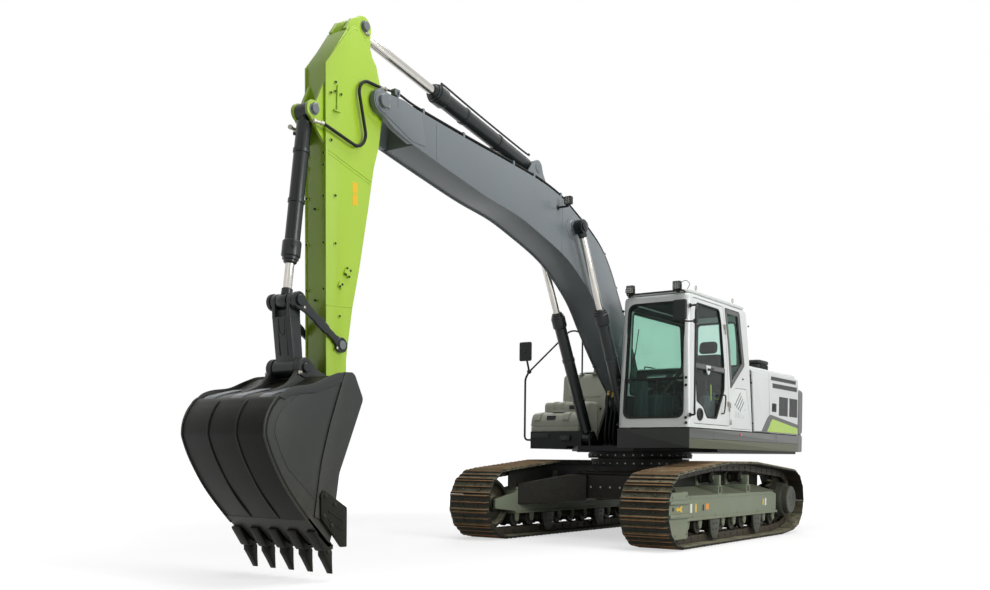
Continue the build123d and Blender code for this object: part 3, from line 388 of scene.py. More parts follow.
def around(outline, centre, angles):
    """Where rays from a centre inside a convex outline meet it, one for each angle:
    the nearest positive crossing with any edge."""
    p = np.asarray(outline, float)
    q = np.roll(p, -1, 0)
    e = (q - p)[None]
    d = np.stack([np.cos(angles), np.sin(angles)], 1)[:, None]
    w = (p - np.asarray(centre, float))[None]
    cross = d[..., 0] * e[..., 1] - d[..., 1] * e[..., 0]
    cross = np.where(abs(cross) < 1e-9, 1e-9, cross)
    t = (w[..., 0] * e[..., 1] - w[..., 1] * e[..., 0]) / cross
    u = (w[..., 0] * d[..., 1] - w[..., 1] * d[..., 0]) / cross
    t = np.where((u > -1e-6) & (u < 1 + 1e-6) & (t > 0), t, np.inf).min(1)
    return np.asarray(centre, float) + d[:, 0] * t[:, None]


def holed(outline, centre, r, lo, hi, edge=3, axis="y", n=48):
    """Plate with a round hole: a skin from the outline over both faces to the hole,
    all along the same rays from the hole's centre."""
    p = np.asarray(outline, float) - centre
    angles = np.unique(np.round(np.concatenate([
        np.linspace(-math.pi, math.pi, n, endpoint=False), np.arctan2(p[:, 1], p[:, 0])]), 6))
    rim = around(outline, centre, angles)
    unit = np.stack([np.cos(angles), np.sin(angles)], 1)
    hole, wide = centre + r * unit, centre + (r + edge) * unit
    small = inset(rim, edge)
    return loft([lay(small, lo, axis), lay(rim, lo + edge, axis), lay(rim, hi - edge, axis),
                 lay(small, hi, axis), lay(wide, hi, axis), lay(hole, hi - edge, axis),
                 lay(hole, lo + edge, axis), lay(wide, lo, axis)], wrap=True)


def hex_bolt(place, direction, size, height=None):
    """Hexagon head with a small washer under it."""
    h = height or size * 0.62
    wash = turned(place, direction, [(size * 1.12, 0), (size * 1.12, size * 0.14),
                                     (size * 0.9, size * 0.16)], 12)
    head = turned(place, direction, [(size, size * 0.14), (size, h * 0.86),
                                     (size * 0.84, h)], 6)
    return wash, head


def boss(at, y, s, profile, n=40):
    """Profile turned round a cross axis at (x, z), from y outwards on side s."""
    return turned((at[0], s * y, at[1]), (0, s, 0), profile, n)


def side_bolt(at, y, s, size):
    """Hexagon bolt at (x, z) whose head looks outwards on side s."""
    return hex_bolt((at[0], s * y, at[1]), (0, s, 0), size)


def put(name, skin, material, body, replaces=(), angle=35, mark=None):
    """Object at the origin from a skin in millimetres. Each closed island's normals
    are turned outwards, and edges sharper than the angle stay crisp. A mark is a
    name and one value a vertex, for the material to read."""
    mesh = bpy.data.meshes.new(name)
    pts = np.vstack(skin.points) * MM
    mesh.from_pydata(pts.tolist(), [], [f for g in skin.faces for f in g])
    if mark:
        layer = mesh.attributes.new(mark[0], "FLOAT", "POINT")
        layer.data.foreach_set("value", np.asarray(mark[1], np.float32))
    bm = bmesh.new()
    bm.from_mesh(mesh)
    bmesh.ops.remove_doubles(bm, verts=bm.verts, dist=0.02 * MM)
    bmesh.ops.recalc_face_normals(bm, faces=bm.faces)
    for f in bm.faces:
        f.smooth = True
    sharp = [e for e in bm.edges if len(e.link_faces) == 2
             and e.calc_face_angle(0) > math.radians(angle)]
    for e in sharp:
        e.smooth = False
    bm.to_mesh(mesh)
    bm.free()
    for m in material if isinstance(material, (list, tuple)) else [material]:
        mesh.materials.append(m)
    obj = bpy.data.objects.new(name, mesh)
    scene.collection.objects.link(obj)
    if body:
        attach(obj, body)
    if replaces:
        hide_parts(*replaces)
    return obj


def dress(node, material, width):
    """CAD node kept as it is, with welded, cleaned and rounded edges by modifiers."""
    obj = nodes[node]
    obj.data.materials.clear()
    obj.data.materials.append(material)
    weld = obj.modifiers.new("weld", "WELD")
    weld.merge_threshold = 0.00005
    flat = obj.modifiers.new("flat", "DECIMATE")
    flat.decimate_type, flat.angle_limit = "DISSOLVE", math.radians(0.6)
    if width:
        bevel = obj.modifiers.new("edges", "BEVEL")
        bevel.width, bevel.segments = width * MM, 2
        bevel.limit_method, bevel.angle_limit = "ANGLE", math.radians(28)


# %% [markdown]
# ## Paint that has been outside
# A machine's paint is never one flat colour. Large soft patches make it a little
# lighter and darker, dust settles on faces that look up and on what is near the
# ground, and fine orange peel breaks the highlights. One shader group works this
# out from the place on the machine, and every paint below sets its own amounts.

# %% Shader group: weathered surface
def srgb(r, g, b):
    """Screen colour from 0 to 255 as linear light: c/12.92 below 0.04045, else
    ((c + 0.055) / 1.055) ** 2.4."""
    v = np.array([r, g, b]) / 255
    lin = np.where(v <= 0.04045, v / 12.92, ((v + 0.055) / 1.055) ** 2.4)
    return (*lin.tolist(), 1.0)


def socket(group, name, kind, default=None, out=False):
    """New socket on a shader group."""
    s = group.interface.new_socket(name, in_out="OUTPUT" if out else "INPUT",
                                   socket_type="NodeSocket" + kind)
    if default is not None:
        s.default_value = default


def math_node(tree, op, a, b=None, clamp=False):
    """Math node whose inputs are sockets or numbers; gives its output."""
    n = tree.nodes.new("ShaderNodeMath")
    n.operation, n.use_clamp = op, clamp
    for k, v in enumerate((a, b)):
        if v is None:
            continue
        if isinstance(v, (int, float)):
            n.inputs[k].default_value = v
        else:
            tree.links.new(v, n.inputs[k])
    return n.outputs[0]


def noise(tree, coords, scale, detail=4, rough=0.55):
    """Noise texture at a scale in waves per metre; gives its value."""
    n = tree.nodes.new("ShaderNodeTexNoise")
    n.inputs["Detail"].default_value = detail
    n.inputs["Roughness"].default_value = rough
    if isinstance(scale, (int, float)):
        n.inputs["Scale"].default_value = scale
    else:
        tree.links.new(scale, n.inputs["Scale"])
    tree.links.new(coords, n.inputs["Vector"])
    return n.outputs["Fac"]


def mix_colour(tree, fac, a, b):
    """Colour mix with a mask."""
    n = tree.nodes.new("ShaderNodeMix")
    n.data_type = "RGBA"
    tree.links.new(fac, n.inputs["Factor"])
    for v, k in ((a, 6), (b, 7)):
        if isinstance(v, tuple):
            n.inputs[k].default_value = v
        else:
            tree.links.new(v, n.inputs[k])
    return n.outputs[2]


weathered = bpy.data.node_groups.new("weathered", "ShaderNodeTree")
for name, kind, value in (("Colour", "Color", (0.5, 0.5, 0.5, 1)), ("Dust", "Color", (0.3, 0.25, 0.18, 1)),
                          ("Mottle", "Float", 0.08), ("Settled", "Float", 0.2),
                          ("Low", "Float", 0.2), ("Fade Height", "Float", 1.2),
                          ("Patch Scale", "Float", 1.6), ("Shine", "Float", 0.4),
                          ("Peel", "Float", 0.1), ("Peel Scale", "Float", 240.0)):
    socket(weathered, name, kind, value)
for name, kind in (("Colour", "Color"), ("Roughness", "Float"), ("Normal", "Vector")):
    socket(weathered, name, kind, out=True)
g = weathered
amounts, results = g.nodes.new("NodeGroupInput"), g.nodes.new("NodeGroupOutput")
place = g.nodes.new("ShaderNodeTexCoord").outputs["Object"]
patches = noise(g, place, amounts.outputs["Patch Scale"], 5, 0.6)
shade = math_node(g, "MULTIPLY", math_node(g, "SUBTRACT", patches, 0.5), amounts.outputs["Mottle"])
shade = math_node(g, "ADD", math_node(g, "MULTIPLY", shade, 2.0), 1.0)
tone = g.nodes.new("ShaderNodeMix")
tone.data_type, tone.blend_type = "RGBA", "MULTIPLY"
tone.inputs["Factor"].default_value = 1.0
g.links.new(amounts.outputs["Colour"], tone.inputs[6])
grey = g.nodes.new("ShaderNodeCombineColor")
for k in range(3):
    g.links.new(shade, grey.inputs[k])
g.links.new(grey.outputs[0], tone.inputs[7])
facing = g.nodes.new("ShaderNodeNewGeometry")
split = g.nodes.new("ShaderNodeSeparateXYZ")
g.links.new(facing.outputs["Normal"], split.inputs[0])
upward = math_node(g, "MULTIPLY", split.outputs["Z"], 1.0, clamp=True)
where = g.nodes.new("ShaderNodeSeparateXYZ")
g.links.new(place, where.inputs[0])
low = math_node(g, "DIVIDE", where.outputs["Z"], amounts.outputs["Fade Height"])
low = math_node(g, "SUBTRACT", 1.0, low, clamp=True)
blotch = noise(g, place, 7.0, 7, 0.68)
speck = noise(g, place, 46.0, 4, 0.6)
blotch = math_node(g, "ADD", math_node(g, "MULTIPLY", blotch, 0.7),
                   math_node(g, "MULTIPLY", speck, 0.3))
blotch = math_node(g, "MULTIPLY", math_node(g, "SUBTRACT", blotch, 0.34), 3.2, clamp=True)
dusty = math_node(g, "ADD", math_node(g, "MULTIPLY", upward, amounts.outputs["Settled"]),
                  math_node(g, "MULTIPLY", low, amounts.outputs["Low"]))
mask = math_node(g, "MULTIPLY", blotch, dusty, clamp=True)
g.links.new(mix_colour(g, mask, tone.outputs[2], amounts.outputs["Dust"]), results.inputs["Colour"])
smear = math_node(g, "MULTIPLY", math_node(g, "SUBTRACT", patches, 0.5), 0.12)
rough = math_node(g, "ADD", amounts.outputs["Shine"], smear)
rough = math_node(g, "ADD", rough, math_node(g, "MULTIPLY", mask, 0.45), clamp=True)
g.links.new(rough, results.inputs["Roughness"])
bump = g.nodes.new("ShaderNodeBump")
bump.inputs["Distance"].default_value = 0.0015
g.links.new(amounts.outputs["Peel"], bump.inputs["Strength"])
g.links.new(noise(g, place, amounts.outputs["Peel Scale"], 3, 0.5), bump.inputs["Height"])
g.links.new(bump.outputs[0], results.inputs["Normal"])


def painted(name, colour, dust=(118, 104, 78), metallic=0.0, coat=0.0, specular=0.5, **amounts):
    """Principled material fed by the weathered group with this finish's amounts."""
    m = bpy.data.materials.new(name)
    m.use_nodes = True
    t = m.node_tree
    p = t.nodes["Principled BSDF"]
    w = t.nodes.new("ShaderNodeGroup")
    w.node_tree = weathered
    w.inputs["Colour"].default_value = srgb(*colour)
    w.inputs["Dust"].default_value = srgb(*dust)
    for key, value in amounts.items():
        w.inputs[key.replace("_", " ").title()].default_value = value
    t.links.new(w.outputs["Colour"], p.inputs["Base Color"])
    t.links.new(w.outputs["Roughness"], p.inputs["Roughness"])
    t.links.new(w.outputs["Normal"], p.inputs["Normal"])
    p.inputs["Metallic"].default_value = metallic
    p.inputs["Coat Weight"].default_value = coat
    p.inputs["Coat Roughness"].default_value = 0.12
    p.inputs["Specular IOR Level"].default_value = specular
    return m


# %% [markdown]
# ## The machine's finishes
# Gloss white for cab and housing, lime green for the arm, slate grey for the boom,
# and several near blacks. The undercarriage carries most dust; shoes show rust where
# the ribs have been scrubbed on the ground.

# %% Materials
cab_white = painted("cab_white", (212, 216, 214), coat=0.35, mottle=0.03, settled=0.05,
                    low=0.06, fade_height=1.6, shine=0.32, peel=0.05)
lime_green = painted("lime_green", (164, 200, 44), coat=0.3, mottle=0.04, settled=0.05,
                     low=0.05, shine=0.36, peel=0.08)
slate_grey = painted("slate_grey", (112, 119, 122), specular=0.3, coat=0.2, mottle=0.06, settled=0.12,
                     low=0.1, shine=0.40, peel=0.12)
bucket_black = painted("bucket_black", (44, 48, 46), specular=0.3, mottle=0.10, settled=0.18, low=0.25,
                       fade_height=1.4, shine=0.43, peel=0.30, peel_scale=120.0)
# painted shade: a darker copy of the bucket's black, so that the rolled shell's back looks shaded; cutters
# and teeth share it
bucket_black_shaded = painted("bucket_black_shaded", (20, 24, 20), specular=0.14, mottle=0.10, settled=0.14, low=0.10,
                      fade_height=1.4, shine=0.36, peel=0.30, peel_scale=120.0)
cylinder_black = painted("cylinder_black", (30, 36, 36), specular=0.3, coat=0.12, mottle=0.06, settled=0.1,
                         low=0.1, shine=0.34, peel=0.08)
chassis_grey = painted("chassis_grey", (124, 134, 114), specular=0.3, dust=(134, 130, 108), mottle=0.12,
                       settled=0.55, low=0.55, fade_height=1.0, shine=0.52, peel=0.25,
                       peel_scale=90.0)
guard_grey = painted("guard_grey", (52, 56, 48), dust=(120, 116, 96), mottle=0.15, settled=0.45,
                     low=0.35, fade_height=0.6, shine=0.5, peel=0.25, specular=0.3)
frame_dark = painted("frame_dark", (20, 23, 22), specular=0.2, mottle=0.10, settled=0.25, low=0.2,
                     shine=0.50, peel=0.2)
skirt_grey = painted("skirt_grey", (80, 83, 81), specular=0.3, coat=0.2, mottle=0.05, settled=0.15,
                     low=0.15, fade_height=1.7, shine=0.42, peel=0.1)
skirt_olive = painted("skirt_olive", (86, 90, 70), specular=0.3, mottle=0.08, settled=0.2, low=0.2,
                      fade_height=1.5, shine=0.5, peel=0.1)
# painted shade: a darker copy of the skirt's grey, for the skirt's front face
skirt_front_shaded = painted("skirt_front_shaded", (46, 49, 48), specular=0.2, mottle=0.05, settled=0.12, low=0.12,
                     fade_height=1.7, shine=0.42, peel=0.1)
tank_paint = painted("tank_paint", (168, 170, 156), mottle=0.06, settled=0.25, low=0.1,
                     shine=0.44, peel=0.12)
black_plastic = painted("black_plastic", (30, 32, 32), specular=0.3, mottle=0.06, settled=0.15, low=0.1,
                        shine=0.55, peel=0.5, peel_scale=520.0)
rubber = painted("rubber", (26, 28, 28), specular=0.2, mottle=0.10, settled=0.2, low=0.2, shine=0.62,
                 peel=0.3, peel_scale=380.0)
console_grey = painted("console_grey", (52, 66, 68), specular=0.3, mottle=0.05, settled=0.0, low=0.0,
                       shine=0.6, peel=0.5, peel_scale=420.0)
lining_dark = painted("lining_dark", (26, 34, 34), specular=0.2, mottle=0.05, settled=0.0, low=0.0,
                      shine=0.75, peel=0.4, peel_scale=420.0)
seat_cloth = painted("seat_cloth", (38, 42, 44), specular=0.2, mottle=0.12, settled=0.0, low=0.0,
                     shine=0.85, peel=0.8, peel_scale=900.0)
bare_steel = painted("bare_steel", (150, 148, 138), metallic=0.9, mottle=0.10, settled=0.2,
                     low=0.25, shine=0.38, peel=0.2)
zinc_yellow = painted("zinc_yellow", (176, 150, 84), metallic=0.85, mottle=0.1, settled=0.1,
                      low=0.1, shine=0.36, peel=0.1)
mirror_glass = painted("mirror_glass", (190, 198, 200), metallic=1.0, mottle=0.02,
                       settled=0.05, low=0.0, shine=0.12, peel=0.0)
# blank labels share one finish
label_yellow, label_white, label_orange = (
    painted("label_" + name, colour, mottle=0.05, settled=0.05, low=0.1, shine=0.45, peel=0.05)
    for name, colour in (("yellow", (232, 186, 30)), ("white", (226, 226, 218)), ("orange", (226, 142, 24))))
reflector_red = painted("reflector_red", (206, 34, 26), coat=0.6, mottle=0.1, settled=0.0,
                        low=0.0, shine=0.25, peel=0.2, peel_scale=700.0)
grille_dark = painted("grille_dark", (92, 94, 93), mottle=0.06, settled=0.2, low=0.1,
                      shine=0.5, peel=0.2)

# track shoes: dark steel with tan dust lying on the upper run; the mark "rib" is 1 on
# rib tops, which are scrubbed to orange rust and bare metal
track_steel = painted("track_steel", (30, 33, 27), specular=0.2, dust=(160, 156, 130), mottle=0.25,
                      settled=1.0, low=0.08, fade_height=1.0, shine=0.55, peel=0.5,
                      peel_scale=70.0)
t = track_steel.node_tree
paint = next(n for n in t.nodes if n.type == "GROUP")
spot = t.nodes.new("ShaderNodeTexCoord").outputs["Object"]
streaks = t.nodes.new("ShaderNodeMapping")
streaks.inputs["Scale"].default_value = (9.0, 2.2, 9.0)
t.links.new(spot, streaks.inputs["Vector"])
rust = noise(t, streaks.outputs[0], 1.0, 6, 0.65)
stain = math_node(t, "MULTIPLY", math_node(t, "SUBTRACT", rust, 0.50), 3.0, clamp=True)
ribs = t.nodes.new("ShaderNodeAttribute")
ribs.attribute_name = "rib"
top = math_node(t, "MULTIPLY", math_node(t, "SUBTRACT", ribs.outputs["Fac"], 0.72), 4.0, clamp=True)
worn = math_node(t, "MULTIPLY", math_node(t, "ADD", rust, 0.35), 1.25, clamp=True)
worn = math_node(t, "MULTIPLY", top, worn, clamp=True)
mask = math_node(t, "MAXIMUM", math_node(t, "MULTIPLY", stain, 0.16), worn)
rusty = mix_colour(t, mask, srgb(22, 25, 20), srgb(156, 108, 66))
t.links.new(rusty, paint.inputs["Colour"])
chain_steel = painted("chain_steel", (52, 50, 44), specular=0.2, dust=(112, 98, 72), mottle=0.2,
                      settled=0.4, low=0.3, shine=0.5, peel=0.4, peel_scale=90.0)

# chrome rod: bright metal with faint rings from grinding and a thin film of oil
rod_chrome = bpy.data.materials.new("rod_chrome")
rod_chrome.use_nodes = True
t = rod_chrome.node_tree
p = t.nodes["Principled BSDF"]
spot = t.nodes.new("ShaderNodeTexCoord").outputs["Object"]
film = noise(t, spot, 14.0, 4, 0.6)
p.inputs["Metallic"].default_value = 1.0
t.links.new(mix_colour(t, film, srgb(214, 208, 198), srgb(168, 170, 168)), p.inputs["Base Color"])
t.links.new(math_node(t, "ADD", math_node(t, "MULTIPLY", film, 0.12), 0.08), p.inputs["Roughness"])


def glass(name, tint, roughness=0.02):
    """Clear pane: transmission with a tinted base, so that it looks through."""
    m = bpy.data.materials.new(name)
    m.use_nodes = True
    t = m.node_tree
    q = t.nodes["Principled BSDF"]
    q.inputs["Transmission Weight"].default_value = 1.0
    q.inputs["IOR"].default_value = 1.05
    q.inputs["Coat Weight"].default_value = 0.2
    q.inputs["Coat Roughness"].default_value = 0.03
    spot = t.nodes.new("ShaderNodeTexCoord").outputs["Object"]
    haze = noise(t, spot, 3.0, 4, 0.6)
    thin = tuple(min(1.0, v * 1.12) for v in srgb(*tint)[:3]) + (1.0,)
    t.links.new(mix_colour(t, haze, srgb(*tint), thin), q.inputs["Base Color"])
    t.links.new(math_node(t, "MULTIPLY", haze, 2 * roughness), q.inputs["Roughness"])
    return m


cab_pane = glass("cab_pane", (188, 218, 206))
clear_pane = glass("clear_pane", (232, 242, 240))
lamp_lens = glass("lamp_lens", (236, 240, 238), 0.08)
print("materials", len(bpy.data.materials))

# %% [markdown]
# ## The belt of each track
# The belt is pulled tight round the idler, the sprocket and the rollers. A tight
# belt touches, for each direction n, the wheel that reaches furthest that way, so its
# point is centre + radius n of the wheel with the largest centre . n + radius.

# %% Belt line
track_y, shoe_count = 1190.0, 49
idler_at, sprocket_at = (1825.0, 440.0), (-1825.0, 470.0)
roller_x = np.array([1371, 1021, 671, 320, -30, -380, -731, -1081, -1431.0])
carrier_x = np.array([500.0, -430.0])
wheels = np.array([(*idler_at, 414.0), (*sprocket_at, 409.0),
                   *[(x, 795.0, 179.0) for x in carrier_x],
                   *[(x, 230.0, 202.3) for x in roller_x[[0, -1]]]])
angle = math.pi + np.linspace(0, 2 * math.pi, 14401)
normal = np.stack([np.cos(angle), np.sin(angle)], 1)
reach = normal @ wheels[:, :2].T + wheels[:, 2]
touch = wheels[reach.argmax(1)]
belt = touch[:, :2] + touch[:, 2:] * normal
run = np.concatenate([[0], np.cumsum(np.linalg.norm(np.diff(belt, axis=0), axis=1))])
pitch = run[-1] / shoe_count


def on_belt(s):
    """Point of the belt at distance s, a tenth of a pitch on."""
    s = (np.asarray(s) + 0.1 * pitch) % run[-1]
    return np.stack([np.interp(s, run, belt[:, 0]), np.interp(s, run, belt[:, 1])], -1)


shoe_at = on_belt(np.arange(shoe_count) * pitch)
shoe_end = on_belt((np.arange(shoe_count) + 1) * pitch)
shoe_len = np.linalg.norm(shoe_end - shoe_at, axis=1)
shoe_dir = (shoe_end - shoe_at) / shoe_len[:, None]
shoe_in = np.stack([-shoe_dir[:, 1], shoe_dir[:, 0]], 1)
print("pitch", round(pitch, 1), "mm")


def on_shoe(k, frac, inward):
    """Section points on shoe k: frac of its length along and inward from its plate."""
    return (shoe_at[k] + np.outer(np.asarray(frac) * shoe_len[k], shoe_dir[k])
            + np.outer(inward, shoe_in[k]))


# %% [markdown]
# ## Track shoes
# A shoe is a rolled bar with three ribs, cut off at 600 mm. Its section is drawn once
# along a pitch, with worn round rib tops, and carried across the track. The last few
# centimetres of each rib slope down where the bar's corners are cut.

# %% Shoes, bolts and chain links
rib = np.array([(0.00, 2), (0.035, 21), (0.055, 25.5), (0.085, 25.5), (0.105, 21), (0.15, 1),
                (0.20, 0), (0.40, 0), (0.445, 2), (0.475, 22), (0.490, 25.5), (0.510, 25.5),
                (0.525, 22), (0.555, 2), (0.60, 0), (0.78, 0), (0.83, 2), (0.890, 22),
                (0.910, 25.5), (0.935, 25.5), (0.955, 21), (0.985, 2), (0.985, -9.5),
                (0.02, -9.5)])
across = np.array([-300, -292, -268, 268, 292, 300.0])
cut = np.array([0.25, 0.55, 1.0, 1.0, 0.55, 0.25])
bolt_spots = [(0.31, -118), (0.31, 118), (0.69, -118), (0.69, 118)]
link_side = np.array([(-0.04, 12), (0.10, 12), (0.90, 12), (1.0, 22), (1.04, 42), (1.04, 70),
                      (0.97, 92), (0.84, 96), (0.62, 96), (0.50, 88), (0.38, 96), (0.16, 96),
                      (0.03, 92), (-0.04, 70)])
link_side[:, 0] = 0.02 + link_side[:, 0] * 0.96
for side, name in ((1, "left"), (-1, "right")):
    shoes, chain, height = Skin(), Skin(), []
    yc = side * track_y
    for k in range(shoe_count):
        rings = []
        for w, low in zip(across, cut):
            h = np.where(rib[:, 1] > 0, rib[:, 1] * low, rib[:, 1])
            flat = on_shoe(k, rib[:, 0], -h)
            rings.append(lay(flat, yc + w, "y"))
        shoes.add(loft(rings))
        height.append(np.outer(cut, np.maximum(rib[:, 1], 0) / 25.5).ravel())
        out_dir = (-shoe_in[k][0], 0, -shoe_in[k][1])
        for frac, w in bolt_spots:
            q = on_shoe(k, [frac], [0.5])[0]
            shoes.add(turned((q[0], yc + w, q[1]), out_dir, [(14, 0), (14, 9), (11.5, 11)], 6))
            height.append(np.full(18, 0.4))
        for lane in (-85, 85):
            flat = on_shoe(k, link_side[:, 0], link_side[:, 1])
            chain.add(plate(flat, yc + lane - 16.5, yc + lane + 16.5, 3, steps=1))
        q = on_shoe(k, [0.0], [57])[0]
        chain.add(pin_y(q[0], q[1], 27, yc - 70, yc + 70, 2, 14))
        for lane in (-1, 1):
            chain.add(pin_y(q[0], q[1], 19, yc + lane * 101, yc + lane * 108, 2, 12))
    put("shoes_" + name, shoes, track_steel, "undercarriage",
        ["track_" + name], angle=30, mark=("rib", np.concatenate(height)))
    chain_piece = put("chain_" + name, chain, chain_steel, "undercarriage", angle=35)
    if side > 0:
        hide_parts("track_chains")
print("shoe faces", len(shoes.faces))

# %% [markdown]
# ## Rollers, idlers and sprockets
# Everything that turns in the track is a profile turned round its axle: rollers with
# two treads and a waist, an idler with a web, and a toothed ring whose rim rises and
# falls 21 times a turn.

# %% Rollers, idlers, sprockets and final drives
rollers, carriers, idlers, rings, drives = Skin(), Skin(), Skin(), Skin(), Skin()
half_roller = [(0.1, 113.5), (34, 113.5), (38, 110), (52, 108), (56, 104), (88, 104), (92, 101),
               (96.8, 97), (96.8, 62), (92, 56), (78, 52), (76, 0)]
half_idler = [(0.1, 124.5), (52, 124.5), (54, 108), (92, 106), (98, 100), (104, 60), (150, 46),
              (228, 46), (246, 62), (250, 98), (256, 103), (284, 104), (289, 100), (289, 64),
              (300, 61), (318, 58), (322.5, 50), (322.5, 0)]


def mirrored(half):
    """Half a profile (radius, half width), continued to the other side."""
    h = np.array(half, float)
    return np.vstack([h, (h * (1, -1))[::-1]])


for side in (1, -1):
    yc = side * track_y
    for x in roller_x:
        rollers.add(turned((x, yc, 230), (0, 1, 0), mirrored(half_roller), 28))
        for s in (-1, 1):
            for bolt_x, bolt_z in circle((x, 230), 26, 4, math.pi / 4):
                rollers.add(*hex_bolt((bolt_x, yc + s * 113, bolt_z), (0, s, 0), 5))
    for x in carrier_x:
        y0, y1 = yc - side * 111.7, yc + side * 70
        carriers.add(turned((x, y0, 795), (0, side, 0),
                            [(30, 0), (46, 2), (66, 6), (71, 12), (71, 36), (66, 44), (60, 50), (60, 122),
                             (66, 128), (71, 136), (71, 164), (66, 172), (46, 178), (24, 181.5)], 30))
    idlers.add(turned((idler_at[0], yc, idler_at[1]), (0, 1, 0), mirrored(half_idler), 64))
    theta = np.linspace(0, 2 * math.pi, 21 * 12, endpoint=False)
    wave = np.clip(1.9 * np.cos(21 * theta), -1, 1)
    rim = 325 + 24.5 * wave
    hub = np.full_like(rim, 239.5)
    tooth = [(hub, -24), (rim - 4, -29), (rim, -20), (rim, 20), (rim - 4, 29), (hub, 24)]
    loops = [np.stack([sprocket_at[0] + r * np.cos(theta), np.full_like(r, yc + w),
                       sprocket_at[1] + r * np.sin(theta)], 1) for r, w in tooth]
    rings.add(loft(loops, wrap=True))
    base_y = yc - side * 134.5
    drives.add(turned((sprocket_at[0], base_y, sprocket_at[1]), (0, side, 0),
                      [(150, 0), (232, 0), (239, 6), (239, 96), (231, 100), (231, 150), (238, 154),
                       (238, 236), (232, 240), (226, 300), (218, 314), (196, 316), (194, 330), (190, 384),
                       (180, 393), (120, 394.5), (112, 391), (40, 391), (36, 394), (20, 394)], 72))
    for x, z in circle(sprocket_at, 208, 24):
        drives.add(*hex_bolt((x, yc + side * 179, z), (0, side, 0), 10))
    for x, z in circle(sprocket_at, 76, 3, 0.5):
        drives.add(*hex_bolt((x, yc + side * 256, z), (0, side, 0), 14, 3.8))
put("track_rollers_turned", rollers, frame_dark, "undercarriage", ["track_rollers"])
put("carrier_rollers_turned", carriers, frame_dark, "undercarriage",
    ["carrier_rollers"])
put("idler_wheels", idlers, track_steel, "undercarriage", ["idlers"])
put("sprocket_rings", rings, track_steel, "undercarriage", ["sprockets"], angle=40)
put("drive_housings", drives, guard_grey, "undercarriage", ["final_drives"])

# %% [markdown]
# ## Track frames
# A welded box beam carries the rollers. Ahead of it a fork holds the idler, and its
# outer guard plate has two ribs and the round lashing eye. Rollers hang in cast
# brackets, carriers stand on posts. The blank labels are thin plates on the paint.

